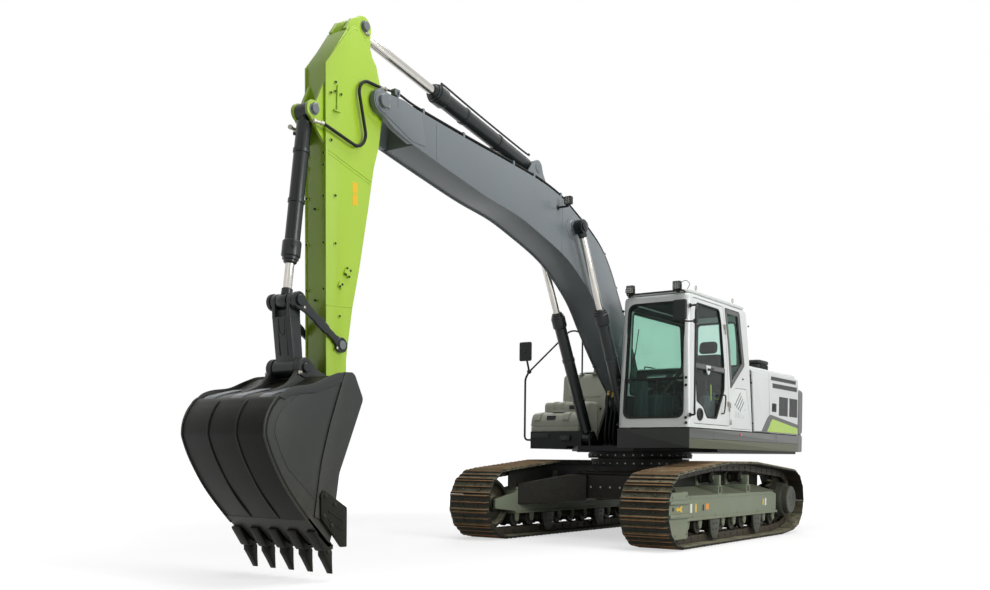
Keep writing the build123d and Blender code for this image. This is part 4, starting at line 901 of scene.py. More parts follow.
# %% Frames, guards, brackets and labels
fork_at, strip_at = 125.0, 114.0
guard = np.array([(1540, 112), (1930, 112), (2030, 250), (2080, 400), (2080, 540),
                  (2000, 640), (1545, 650)], float)
beam = [(1450, 300), (1450, 600), (-1300, 600), (-1468, 560), (-1468, 300)]
drive_arc = np.radians(np.linspace(75, 285, 40))
bracket = np.vstack([[(-1400, 310), (-1400, 600)],
                     np.stack([-1825 + 215 * np.cos(drive_arc), 470 + 215 * np.sin(drive_arc)], 1)])
shield = fillet([(-150, 299.7), (150, 299.7), (110, 120), (60, 60), (-60, 60), (-110, 120)],
                [4, 4, 30, 30, 30, 30], 5)
for side, name in ((1, "left"), (-1, "right")):
    body = Skin()

    def off(*w, side=side):
        """Two places across the track, measured outwards from its centre."""
        return sorted(side * (track_y + v) for v in w)

    body.add(
        plate(fillet(beam, 18, 3), *off(-165, 165), 10),
        box(-1495, 1460, *off(-177, 177), 302, 334, 5, 4),
        box(-1340, 1380, *off(165, 171), 560, 588, 3, 4))
    for x in (1300, 640, -60, -760, -1300):
        body.add(plate(fillet(rect(x - 9, x + 9, 336, 372), 4, 2), *off(160, 170), 2))
    # rim of the opening in the outer face; the dark plate in it, painted shade, comes below
    body.add(boss((1010, 448), track_y + 166, side, [(44, -3), (44, 1.6), (40, 3)], 36))
    for s in (-1, 1):
        body.add(plate(fillet([(1440, 332), (1900, 380), (1900, 500), (1440, 580)], 20, 4),
                       *off(s * fork_at, s * 165), 6))
    body.add(holed(fillet(guard, 40, 5), np.array([1932.0, 453.0]), 24.5, *off(160, 215), 5))
    for z in (375, 530):
        ridge = fillet(rect(1550, 2066, z - 22, z + 22), 8, 3)
        body.add(plate(ridge, *off(212, 249), 9))
    for x, z in ((1580, 600), (1960, 590), (1580, 170), (1880, 160)):
        body.add(*side_bolt((x, z), track_y + 214.5, side, 15))
    body.add(
        plate(fillet(bracket, 6, 2), *off(-185, -135), 6),
        plate(fillet([(-1396, 330), (-1396, 585), (-1560, 640), (-1700, 560), (-1700, 380), (-1560, 300)],
                     30, 4), *off(-183, -137), 8))
    # cast brackets of the bottom rollers, each with its two bolts
    for x in roller_x:
        for s in (-1, 1):
            flat = fillet([(x - 46, 306), (x + 46, 306), (x + 40, 226), (x + 22, 197),
                           (x - 22, 197), (x - 40, 226)], [4, 4, 14, 14, 14, 14], 3)
            body.add(plate(flat, *off(s * strip_at, s * 139.5), 5))
            for dx in (-26, 26):
                spot = (x + dx, side * (track_y + s * 139), 272)
                body.add(*hex_bolt(spot, (0, side * s, 0), 11))
            body.add(turned((x, side * (track_y + s * 139), 232), (0, side * s, 0),
                            [(20, 0), (20, 4), (16, 6)], 20))
    # posts of the carrier rollers: a box, an open channel end and an upright
    for x in carrier_x:
        body.add(
            box(x - 60, x + 60, *off(-165, -112), 590, 858, 8, 20),
            box(x - 64, x + 64, *off(-165, 165), 596, 614, 4, 4))
        for s in (-1, 1):
            body.add(box(x + s * 52 - 11, x + s * 52 + 11, *off(-165, 165), 600, 690, 4, 4))
        body.add(
            box(x - 64, x + 64, *off(-165, 158), 684, 700, 4, 4),
            box(x - 22, x + 22, *off(76, 163), 690, 828, 7, 14),
            boss((x, 795), track_y + 70, side, [(34, 0), (34, 16), (28, 20)], 24))
    # shed plate that turns mud away, and on its inner edge an upright near-black screen, a dark sheet that
    # is painted shade inside the track
    for x0, x1 in ((-1390, -500), (-360, 430), (570, 1430)):
        section = np.array([(168, 602), (-108, 672), (-150, 690), (-164, 690), (-164, 602)], float)
        section[:, 0] = side * (track_y + section[:, 0])
        body.add(plate(fillet(section, [4, 14, 6, 6, 4], 3), x0, x1, 5, "x"))
    shade_screen_line = [(-1560, 640), (1600, 640), (1600, 838), (1430, 856), (560, 934), (-450, 934),
                   (-1390, 874), (-1560, 862)]
    screen = Skin(plate(fillet(shade_screen_line, 10, 3), *off(-164, -140), 4))
    # near black, so that the space behind the track's upper run reads as shade: painted shade
    put("track_shade_screen_" + name, screen, frame_dark, "undercarriage")
    put("track_frame_" + name + "_welded", body, chassis_grey, "undercarriage",
        ["track_frame_" + name])
    face = side * (track_y + 165.2)
    for x0, x1, z0, z1, finish in (
            (1322, 1372, 396, 500, label_white), (1196, 1236, 398, 498, label_yellow),
            (840, 930, 420, 492, label_orange), (-990, -950, 420, 500, label_yellow),
            (-1090, -1036, 412, 508, label_white)):
        part = Skin(sticker(fillet(rect(x0, x1, z0, z1), 5, 3), face, face + side * 0.9))
        put(f"label_{name}_{x0}".replace("-", "m"), part, finish, "undercarriage")
    tip = np.array([(1868, 452), (1806, 486), (1812, 466), (1762, 466), (1738, 486), (1690, 486),
                    (1722, 452), (1690, 418), (1738, 418), (1762, 438), (1812, 438), (1806, 418)], float)
    mark = Skin(sticker(tip, side * (track_y + 215.2), side * (track_y + 216.2)))
    put("arrow_" + name, mark, label_yellow, "undercarriage")
    guards = Skin()
    for x in roller_x[[2, 6]]:
        for s in (-1, 1):
            guards.add(plate(shield + (x, 0), *off(s * 146, s * 176), 5))
            for dx, z in ((-50, 250), (50, 250), (-50, 180), (50, 180)):
                guards.add(*hex_bolt((x + dx, side * (track_y + s * 175.6), z), (0, side * s, 0), 12))
    piece = put("roller_guards_" + name, guards, guard_grey, "undercarriage")
    if side > 0:
        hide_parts("track_guards")
    # dark plate inside the opening's rim: painted shade of the hole
    opening_shade = Skin(plate(fillet(rect(988, 1032, 410, 486), 20, 6), side * (track_y + 167),
                     side * (track_y + 169.2), 0.5))
    put("frame_opening_shade_" + name, opening_shade, rubber, "undercarriage")

# %% [markdown]
# ## Swing ring
# Two rings turn on each other under the deck. Each has its circle of bolts, spaced
# evenly by angle.

# %% Swing ring and bolt circles
lower, upper_ring = Skin(), Skin()
ring_bolts = {"undercarriage": Skin(), "upper": Skin()}
lower.add(turned((0, 0, 936), (0, 0, 1), [(480, 0), (634, 0), (634, 44), (652, 46), (652, 84), (646, 85),
                                          (560, 85), (560, 90.5), (480, 90.5)], 96))
upper_ring.add(turned((0, 0, 1027.2), (0, 0, 1), [(480, 0), (686, 0), (688, 3), (688, 60), (680, 62),
                                                  (680, 84.5), (480, 84.5)], 96))
for x, y in circle((0, 0), 1, 36):
    ring_bolts["undercarriage"].add(*hex_bolt((634 * x, 634 * y, 958), (x, y, 0), 9))
    ring_bolts["upper"].add(*hex_bolt((688 * x - 1, 688 * y, 1066), (x, y, 0), 10))
for skin_part, name, body_name, node in ((lower, "swing_ring_fixed", "undercarriage", "swing_ring_lower"),
                                         (upper_ring, "swing_ring_turning", "upper", "swing_ring_upper")):
    put(name, skin_part, frame_dark, body_name, [node])
    put(name + "_bolts", ring_bolts[body_name], bare_steel, body_name)

# %% [markdown]
# ## Carbody
# The centre body is an eight-sided drum. Each leg is a skin over four sections that
# slide from the drum to the track frame while they widen and sink.

# %% Carbody: drum, collar and four legs
carbody = Skin()
octagon = [(820, 560), (560, 800), (-560, 800), (-820, 560), (-820, -560), (-560, -800),
           (560, -800), (820, -560)]
carbody.add(
    plate(fillet(octagon, 40, 3), 500, 806, 12, "z"),
    plate(fillet(octagon, 90, 4) * 0.86, 800, 846, 14, "z"),
    turned((0, 0, 780), (0, 0, 1),
           [(640, 0), (640, 50), (612, 70), (606, 80), (606, 155.7), (480, 155.7)], 72))
for sx in (1, -1):
    for sy in (1, -1):
        leg_y = track_y - 165.3
        k = np.array([0.0, 0.3, 0.62, 1.0])[:, None]
        a = (1 - k) * np.array([[260.0, 520]]) + k * np.array([[640.0, leg_y]])
        b = (1 - k) * np.array([[860.0, 330]]) + k * np.array([[1400.0, leg_y]])
        tops, lows = np.array([812.0, 806, 752, 694]), np.array([470.0, 452, 432, 418])
        rings = []
        for i in range(4):
            span = np.linalg.norm(b[i] - a[i])
            flat = fillet(rect(0, span, lows[i], tops[i]), 26, 4)
            at = a[i] + flat[:, :1] / span * (b[i] - a[i])
            rings.append(np.stack([sx * at[:, 0], sy * at[:, 1], flat[:, 1]], 1))
        carbody.add(loft(rings))
        rib = np.stack([sx * (a[:, 0] * 0.5 + b[:, 0] * 0.5),
                        sy * (a[:, 1] * 0.5 + b[:, 1] * 0.5), tops + 4], 1)
        carbody.add(tube(rib, 9, 8, 3))
put("carbody_welded", carbody, frame_dark, "undercarriage", ["carbody"])
plugs = Skin()
for sx in (1, -1):
    for t in np.linspace(-0.75, 0.75, 7):
        plugs.add(*hex_bolt((sx * 819, t * 560, 650), (sx, 0, 0), 12))
put("carbody_bolts", plugs, bare_steel, "undercarriage")

# %% [markdown]
# ## Boom
# Boom and arm are welded boxes: two side plates stand a finger's width proud of the
# plates between them. So each is made of thin side plates with the full outline and
# a core whose outline is inset. Curved edges run smoothly through a few stations.

# %% Pivots, boom plates and bosses
F, G, K, P = (270.0, 1790.0), (880.0, 1290.0), (2140.0, 3670.0), (5435.0, 4155.0)
H, N, A, B = (2760.0, 4225.0), (5580.0, 4780.0), (5890.0, 1957.0), (5905.0, 1530.0)
Q, R, S = (6345.0, 1727.0), (6386.0, 2275.0), (6180.0, 3890.0)


def arc(centre, r, a0, a1, n=16):
    """Points on an arc round a centre, angles in degrees."""
    t = np.radians(np.linspace(a0, a1, n))
    return np.stack([centre[0] + r * np.cos(t), centre[1] + r * np.sin(t)], 1)


def keeper(skin, x, z, y, side, r):
    """Bolted bar that keeps a pin from turning, beside a pin of radius r."""
    flat = fillet(rect(x - r * 1.25, x + r * 0.1, z - r * 1.5, z - r * 0.95), 8, 3)
    skin.add(plate(flat, y, y + side * 10, 3))
    for k in (-1.0, -0.15):
        skin.add(*hex_bolt((x + k * r, y + side * 9.5, z - r * 1.22), (0, side, 0), 9))


top_edge = curve([(4957, 4219), (4463, 4177), (3982, 4140), (3461, 4105), (2833, 4050),
                  (2398, 3969), (2072, 3845), (1727, 3699), (1439, 3530), (1212, 3300),
                  (1030, 3040), (760, 2640), (400, 1990)], 5)
low_edge = curve([(420, 1700), (1000, 2230), (1340, 2590), (1639, 2912), (2057, 3196),
                  (2385, 3343), (2850, 3479), (3284, 3584), (3822, 3655), (4316, 3745),
                  (4774, 3834), (5035, 3888)], 5)
foot = arc(F, 149, 42, 270, 20)
tip = np.vstack([[(5137, 4245), (5330, 4243)], arc(P, 111, 80, -100, 18)[:-1],
                 [(5276, 3958)]])
boom_outline = np.vstack([top_edge, foot, low_edge, tip[::-1]])
core_outline = np.vstack([top_edge, foot, low_edge[:-3], [(4992, 3880), (4992, 4222)]])
boom = Skin()
for s in (1, -1):
    boom.add(plate(boom_outline, s * 181, s * 195, 3))
    fork = np.vstack([[(4960, 4219)], tip[::1], [(5035, 3888), (4990, 3900)]])
    boom.add(
        plate(fork, s * 141, s * 182, 3),
        plate(fillet(np.vstack([[(4830, 3905), (4900, 4200)], tip[:2], arc(P, 98, 70, -95, 14),
                                [(5230, 3985), (5035, 3908)]]), 12, 2), s * 190, s * 201, 3))
    # stepped boss of the cylinders' pin, boss of the foot pivot, weld bead at the head
    boom.add(
        boss(K, 192, s,
             [(132, 0), (132, 8), (126, 12), (96, 12), (90, 20), (84, 24), (84, 50), (78, 51.5)], 48),
        boss(F, 190, s, [(150, 0), (150, 66), (144, 72), (60, 72)], 48),
        bead(arc((P[0] - 8, P[1] - 6), 88, 200, 320, 14), s * 201, 6, 8))
    # seams of the side plate: upright bands where two plates are welded
    for x0, x1 in ((4640, 4668), (2360, 2378)):
        top_z = np.interp([x0, x1], top_edge[::-1, 0], top_edge[::-1, 1]) - 20
        low_z = np.interp([x0, x1], low_edge[:, 0], low_edge[:, 1]) + 20
        boom.add(plate([(x0, low_z[0]), (x1, low_z[1]), (x1, top_z[1]), (x0, top_z[0])],
                       s * 194, s * 198, 1.8))
    boom.add(tube([(820, s * 196, 2700), (1005, s * 196, 2420), (1165, s * 196, 2430)], 5, 8))
boom.add(plate(inset(core_outline, 13), -182, 182, 3))
for s in (1, -1):
    lug = np.vstack([[(2520, 3985), (3020, 4055), (2860, 4260)], arc(H, 84, 25, 155, 14), [(2660, 4190)]])
    boom.add(
        plate(fillet(lug, 5, 2), s * 86, s * 114, 5),
        boss(H, 112, s, [(58, 0), (58, 6), (46, 7), (45, 9.5)], 32))
boom.add(pin_y(*H, 45, -88, 88, 3), pin_y(*P, 49.5, -194, 194, 3))
put("boom_welded", boom, slate_grey, "boom", ["boom"])
head_caps, keepers, shims = Skin(), Skin(), Skin()
for s in (1, -1):
    head_caps.add(boss(P, 194, s, [(64, 0), (64, 8), (60, 12), (60, 36), (54, 42)], 44))
    keepers.add(box(5352, 5386, s * 201, s * 214, 4112, 4208, 3, 8))
    for z in (4130, 4190):
        keepers.add(*side_bolt((5366, z), 213, s, 10))
    for k in range(3):
        shims.add(boss(P, 132.4 + 3 * k, s, [(104 - 2 * k, 0), (104 - 2 * k, 2.1)], 56))
put("boom_head_caps", head_caps, slate_grey, "boom")
put("boom_head_keepers", keepers, bare_steel, "boom")
put("boom_head_shims", shims, frame_dark, "boom")

# %% [markdown]
# ## Arm
# The arm is a tapered box with a slot on top for the cylinder's rod. Along its edges
# stand threaded bosses with dark bolts, and two bolted cover pads sit low on the side.

# %% Arm plates, slot cheeks, bosses and pads
arm_low = np.vstack([[(5401, 3773), (5465, 3568), (5536, 3184), (5641, 2657), (5729, 2287),
                      (5800, 1850)], arc(B, 103.5, 180, 345, 24)])
arm_outline = np.vstack([[(6041, 1660), (6060, 3076), (6073, 4305), (5882, 4556)],
                         curve([(5784, 4688), (5740, 4727), (5684, 4731), (5638, 4701),
                                (5592, 4639), (5539, 4579)], 5),
                         [(5441, 4472), (5405, 4362), (5372, 4269)], arc(P, 118, 130, 230, 16), arm_low])
arm_core = np.vstack([[(6041, 1660), (6060, 3076), (6073, 4310), (5813, 4693), (5700, 4580),
                       (5560, 4395), (5416, 4395), (5405, 4362), (5372, 4269)],
                      arc(P, 118, 130, 230, 16), arm_low])
cheek = np.vstack([[(5813, 4693), (5740, 4800)], arc((N[0] + 10, N[1] - 8), 97.5, 40, 180, 16),
                   [(5500, 4610), (5441, 4472), (5416, 4395), (5560, 4395), (5700, 4580)]])
arm = Skin(plate(inset(arm_core, 10), -114, 114, 3))
for s in (1, -1):
    arm.add(
        plate(arm_outline, s * 113, s * 125, 3),
        plate(cheek, s * 64.5, s * 106, 6),
        bead(inset(arm_outline, 26)[2:16], s * 124.4, 3.2, 8),
        boss(A, 120, s, [(70, 0), (70, 6), (64, 9), (60, 9)], 36))
    for centre, r in ((P, 112), (B, 98)):
        arm.add(boss(centre, 121, s, [(r, 0), (r, 7), (r - 6, 11), (60, 11), (54, 9)], 48))
    arm.add(boss(P, 119, s, [(168, 0), (168, 6.6), (163, 7.2)], 64))
    ear = np.vstack([[(6050, 4180), (6050, 3640), (6110, 3700)], arc(S, 77.5, -60, 110, 14),
                     [(6080, 4120)]])
    arm.add(plate(ear, s * 68, s * 98, 5))
    # welded seams: two slanted ones above, a nearly level one below
    arm.add(
        tube([(6035, s * 125, 3585), (5505, s * 125, 3440)], 4.5, 8),
        tube([(6042, s * 125, 3560), (5512, s * 125, 3412)], 3.5, 8),
        tube([(5732, s * 125, 2300), (6046, s * 125, 2282)], 4.5, 8))
    for x, z, dx, dz, n in ((5800, 2590, 74, 54, 4), (5885, 2468, 52, 50, 2)):
        c, d = math.cos(0.6), math.sin(0.6)
        flat = np.array([(x + a * c * dx - b * d * dz, z + a * d * dx + b * c * dz)
                         for a, b in ((-.5, -.5), (.5, -.5), (.5, .5), (-.5, .5))])
        arm.add(plate(fillet(flat, 5, 2), s * 124, s * 141, 3))
arm.add(pin_y(*S, 38, -70, 70, 3))
put("arm_welded", arm, lime_green, "arm", ["arm"])
caps, bars = Skin(), Skin()
for s in (1, -1):
    caps.add(
        boss(N, 104, s, [(52, 0), (52, 4), (40, 5), (40, 30), (36, 35)], 40),
        boss(S, 96, s, [(50, 0), (50, 8), (40, 10), (40, 26), (36, 30)], 40),
        boss(A, 127, s, [(38, 0), (38, 44), (33, 44.8)], 32))
    keeper(bars, N[0] - 4, N[1], s * 106, s, 44)
    keeper(bars, S[0] + 4, S[1] + 98, s * 98, s, 40)
put("arm_pins", caps, slate_grey, "arm")
put("arm_keepers", bars, bare_steel, "arm")
studs, stud_base = Skin(), Skin()
side_spots = [(5960, 4175), (6017, 4070), (5894, 4090), (5968, 4095), (5966, 3932), (6010, 3674),
              (5956, 3219), (5952, 2815), (5893, 2205), (5770, 2610), (5830, 2570), (5788, 2556),
              (5812, 2626), (5872, 2478), (5899, 2458)]
edge_spots = [(100, 3560), (100, 3458), (100, 3199), (100, 2808), (100, 2420), (6, 3100), (6, 2330)]
for s in (1, -1):
    for x, z in side_spots:
        raised = 16 if 5760 < x < 5910 and z < 2640 and z > 2440 else 0
        if not raised:
            stud_base.add(boss((x, z), 124, s, [(15, 0), (15, 9), (13, 10)], 16))
            raised = 9
        studs.add(*side_bolt((x, z), 124.6 + raised, s, 10))
    for y, z in edge_spots:
        x = np.interp(z, [1660, 3076, 4310], [6041, 6060, 6073]) - 9
        stud_base.add(turned((x, s * y, z), (1, 0, 0), [(14, 0), (14, 12), (12, 13)], 16))
        studs.add(*hex_bolt((x + 12.5, s * y, z), (1, 0, 0), 9))
put("arm_bosses", stud_base, lime_green, "arm")
put("arm_bolts", studs, frame_dark, "arm")
bracket = Skin(
    plate([(5936, 3930), (5950, 3930), (5944, 4160), (5930, 4160)], 134, 140, 1),
    box(5910, 5990, 134, 152, 3926, 3936, 1.5, 2))
put("arm_bracket", bracket, lime_green, "arm")
decal = Skin()
for z0, z1 in ((3188, 3284), (3294, 3388)):
    decal.add(sticker(fillet(rect(5672, 5738, z0, z1), 6, 3), 125.1, 126))
put("arm_label", decal, label_yellow, "arm")

# %% [markdown]
# ## Hydraulic cylinders
# A barrel is one profile turned round the line from pivot to pivot: eye neck, tube,
# thicker head, bolted gland. The chromed rod runs on the same line.

# %% Barrels, rods and eyes
def line_of(p, q, y):
    """Start point, unit direction and length from pivot p to pivot q, across the machine at y."""
    a, b = np.array([p[0], y, p[1]]), np.array([q[0], y, q[1]])
    n = np.linalg.norm(b - a)
    return a, (b - a) / n, n


def lifted(d):
    """Direction at right angles to d in the machine's upright plane."""
    return np.array([-d[2], 0, d[0]])


def eye(skin, at, y, r, half, hole=0):
    """Round eye across the machine; with a hole its skin runs through to the far face."""
    if hole:
        profile = [(hole, -half), (r - 5, -half), (r, -half + 5), (r, half - 5),
                   (r - 5, half), (hole, half)]
        skin.add(hollow((at[0], y, at[1]), (0, 1, 0), profile))
    else:
        skin.add(pin_y(at[0], at[1], r, y - half, y + half, 5))


def collar(start, d, r, width):
    """Clamp band round a barrel."""
    return hollow(start, d, [(r - 3, 0), (r + 1, 0), (r + 6, 3), (r + 6, width - 3), (r + 1, width),
                             (r - 3, width)])


def barrel(p, q, y, gland, r, eye_r, eye_half, pin_r, head):
    """Barrel skin from base pivot p towards q."""
    k = Skin()
    a, d, _ = line_of(p, q, y)
    k.add(turned(a, d, [(eye_half * 0.6, eye_r * 0.7), (eye_half * 0.75, 90), (r * 0.98, 96), (r, 102),
                        (r, gland - head), (r + 7, gland - head + 5), (r + 13, gland - head + 14),
                        (r + 15.5, gland - head + 20), (r + 15.5, gland - 64), (r + 10, gland - 60),
                        (r + 4, gland - 58), (r + 4, gland - 34), (r - 8, gland - 30), (r - 8, gland - 12),
                        (r - 14, gland - 6), (r - 22, gland)], 48))
    eye(k, p, y, eye_r, eye_half, pin_r + 0.4)
    _, u, v = basis(d)
    for i in range(10):
        t = i * math.pi / 5
        spot = a + d * (gland - 59) + r * (math.cos(t) * u + math.sin(t) * v)
        k.add(*hex_bolt(spot, d, 9))
    return k


def rod(p, q, y, length, r, eye_r, eye_half):
    """Rod skin and eye skin at the far end."""
    a, d, n = line_of(p, q, y)
    bar, end = Skin(), Skin()
    bar.add(turned(a, d, disc_profile(r, n - length, n - eye_r * 0.9, 2), 48))
    end.add(turned(a, d,
                   [(r * 0.98, n - eye_r - 46), (r + 9, n - eye_r - 38), (r + 11, n - eye_r * 0.8)], 40))
    eye(end, q, y, eye_r, eye_half)
    return bar, end


def place_cylinder(name, barrel_skin, bar, end):
    """One barrel and its rod with an eye, on the bodies named after the cylinder."""
    put(name + "_barrel_turned", barrel_skin, cylinder_black, name + "_barrel",
        [name + "_cylinder_barrel"])
    put(name + "_rod_chromed", bar, rod_chrome, name + "_rod", [name + "_cylinder_rod"])
    put(name + "_rod_eye", end, cylinder_black, name + "_rod")


barrels, rods, ends = Skin(), Skin(), Skin()
for s in (1, -1):
    one = barrel(G, K, s * 300, 1697, 72, 78, 50, 45, 200)
    a, d, _ = line_of(G, K, s * 300)
    lift = lifted(d)
    port = a + d * 1585 + lift * 84
    one.add(turned(port, lift, [(20, -10), (20, 10), (14, 14), (14, 22)], 6))
    pipe = [port + lift * 12, port + lift * 26 - d * 30, a + d * 1450 + lift * 96, a + d * 700 + lift * 96,
            a + d * 300 + lift * 92, a + d * 230 + lift * 70]
    one.add(tube(pipe, 9, 10, 6))
    for along_d in (500, 1050):
        one.add(collar(a + d * along_d, d, 73, 40))
    barrels.join(one)
    bar, end = rod(G, K, s * 300, 1800, 42, 80, 50)
    end.add(boss(K, 345, s, [(80, 0), (78, 4), (55, 5), (55, 24), (50, 27)], 40))
    rods.join(bar)
    ends.join(end)
put("boom_barrels_turned", barrels, cylinder_black, "boom_barrels",
    ["boom_cylinder_barrels"])
put("boom_rods_chromed", rods, rod_chrome, "boom_rods", ["boom_cylinder_rods"])
put("boom_rod_eyes", ends, cylinder_black, "boom_rods")

one = barrel(H, N, 0, 1783, 80, 80, 66, 45, 200)
a, d, _ = line_of(H, N, 0)
lift = lifted(d)
for s in (1, -1):
    y = np.array([0, s * 42.0, 0])
    far = 1690 if s > 0 else 260
    one.add(turned(a + d * far + lift * 84 + y, lift, [(18, -10), (18, 12), (13, 16)], 6))
    pipe = [a + d * far + lift * 98 + y, a + d * (far - 40) + lift * 108 + y,
            a + d * (far * 0.6 + 60) + lift * 100 + y, a + d * 190 + lift * 104 + y,
            a + d * 120 + lift * 118 + y * 1.2]
    one.add(tube(pipe, 10, 10, 6))
for along_d in (640, 1230):
    one.add(collar(a + d * along_d, d, 81, 42))
place_cylinder("arm", one, *rod(H, N, 0, 2010, 46, 84, 56))

one = barrel(S, R, 0, 1311, 64, 68, 62, 38, 200)
a, d, _ = line_of(S, R, 0)
lift = lifted(d)
for s in (1, -1):
    y = np.array([0, s * 50.0, 0])
    far = 1180 if s > 0 else 200
    side_dir = np.array([0, s, 0]) * 0.8 + lift * 0.6
    start = a + d * far + side_dir * 72
    one.add(turned(start, side_dir, [(16, -10), (16, 8), (12, 12)], 6))
    if s > 0:
        one.add(tube([start + side_dir * 8, start + side_dir * 16 - d * 40, a + d * 700 + side_dir * 80,
                      a + d * 260 + side_dir * 80, a + d * 190 + side_dir * 88], 8, 10, 6))
for along_d in (330, 760):
    one.add(collar(a + d * along_d, d, 65, 36))
place_cylinder("bucket", one, *rod(S, R, 0, 1290, 37, 66, 56))

# %% [markdown]
# ## Bucket and its links
# The bucket's shell is one smooth curve through stations, given its thickness by an
# inset copy. The forged side link swells into round bosses at both ends.

# %% Bucket shell, sides, rims, ears, lip and wear strips
back_line = curve([(6376, 290), (6640, 546), (6826, 757), (6960, 966), (7030, 1120), (7043, 1195),
                   (7022, 1296), (6960, 1400), (6860, 1474), (6525, 1552), (6300, 1650), (6172, 1668)], 5)


def offset_line(line, d):
    """Open line moved sideways by d along its normals."""
    t = np.gradient(line, axis=0)
    t /= np.linalg.norm(t, axis=1, keepdims=True)
    return line + np.stack([-t[:, 1], t[:, 0]], 1) * d


inner_line = offset_line(back_line, 28)
bucket, rolled = Skin(), Skin()
rolled.add(plate(np.vstack([back_line, inner_line[::-1]]), -482, 482, 2))
side_line = np.vstack([[(6345, 312)], back_line[2:-1], [(6198, 1684), (6110, 1694), (6078, 1672),
                                                        (5979, 1480), (6150, 1100), (6257, 865),
                                                        (6289, 665), (6290, 480)]])
mouth = fillet([(6290, 480), (6530, 520), (6464, 935), (6369, 1245), (6232, 1598), (6202, 1678),
                (6198, 1690), (6110, 1694), (6078, 1672), (5979, 1480), (6150, 1100), (6257, 865),
                (6289, 665)], [4, 20, 90, 60, 10, 4, 4, 12, 20, 30, 40, 30, 20], 4)
top_low = curve([(6224, 1606), (6373, 1553), (6511, 1505), (6645, 1492), (6776, 1466), (6846, 1430)], 5)
top_high = curve([(6906, 1452), (6841, 1505), (6738, 1540), (6566, 1568), (6429, 1622), (6289, 1674),
                  (6204, 1688)], 5)
for s in (1, -1):
    bucket.add(
        plate(side_line, s * 456, s * 480, 3),
        plate(mouth, s * 479, s * 494, 4),
        plate(np.vstack([top_low, top_high]), s * 479, s * 490, 4))
    field = np.vstack([[(6400, 560)], offset_line(back_line, 100)[12:38], [(6700, 1480), (6530, 1500),
                                                                     (6260, 1585), (6372, 1245),
                                                                     (6468, 935), (6420, 740)]])
    bucket.add(plate(fillet(field, 30, 3), s * 479.4, s * 483.4, 3))
    rim = offset_line(back_line, -2)[3:44]
    bucket.add(bead(rim, s * 478, 8, 8))
    ears = np.vstack([[(5804, 1560), (5828, 1606)], curve([(5905, 1636), (6060, 1672), (6180, 1712),
                                                           (6262, 1778)], 4)[1:],
                      arc(Q, 84, 120, -20, 16), curve([(6450, 1660), (6530, 1585), (6700, 1516)], 5),
                      [(6500, 1530), (6240, 1600), (6180, 1560), (6010, 1500)], arc(B, 104, 330, 190, 18)])
    bucket.add(plate(ears, s * 140, s * 182, 5))
    for centre, r in ((B, 104.4), (Q, 84)):
        bucket.add(boss(centre, 134.6, s,
                        [(r - 5, 0), (r, 5), (r, 55), (r - 5, 61), (54, 61), (50, 57)], 56))
bucket.add(plate(fillet([(6376, 289), (6322, 300), (6560, 540), (6600, 500)], 8, 3), -482, 482, 4))
put("bucket_welded", bucket, bucket_black, "bucket", ["bucket"])
# the rolled shell takes the darker copy of the bucket's paint, painted shade
put("bucket_shell_rolled", rolled, bucket_black_shaded, "bucket")
pads, pins, keepers = Skin(), Skin(), Skin()
wear = curve([(6600, 508), (6706, 612), (6826, 757), (6960, 966), (7029, 1120), (7042, 1195), (7023, 1296),
              (6962, 1400), (6890, 1452)], 5)
strips = Skin()
for y in (-165, 165):
    strip = np.vstack([offset_line(wear, -9), offset_line(wear, 3)[::-1]])
    strips.add(plate(strip, y - 11, y + 11, 3))
put("bucket_wear_strips", strips, frame_dark, "bucket")
for y in (-330, 0, 330):
    run = curve([(6905, 1446), (6860, 1474), (6700, 1516), (6600, 1538)], 5)
    pads.add(plate(np.vstack([offset_line(run, -8), offset_line(run, 2)[::-1]]), y - 62, y + 62, 3))
put("bucket_wear_plates", pads, slate_grey, "bucket")
for s in (1, -1):
    # each pin has a keeper beside it: centre, pin radius, reach, keeper corners and height
    for centre, r, w, low, high, face in ((B, 42, 206, (-92, -40), (-50, -4), 200),
                                          (Q, 40, 214, (44, -62), (82, -30), 203)):
        pins.add(boss(centre, 190, s, [(r, 0), (r, w - 194), (r - 5, w - 190)], 32))
        x0, z0, x1, z1 = centre[0] + low[0], centre[1] + low[1], centre[0] + high[0], centre[1] + high[1]
        keepers.add(
            plate(fillet(rect(x0, x1, z0, z1), 6, 2), s * 184, s * face, 3),
            *side_bolt(((x0 + x1) / 2, (z0 + z1) / 2), face - 1, s, 12))
put("bucket_pins", pins, cylinder_black, "bucket")
put("bucket_keepers", keepers, bare_steel, "bucket")

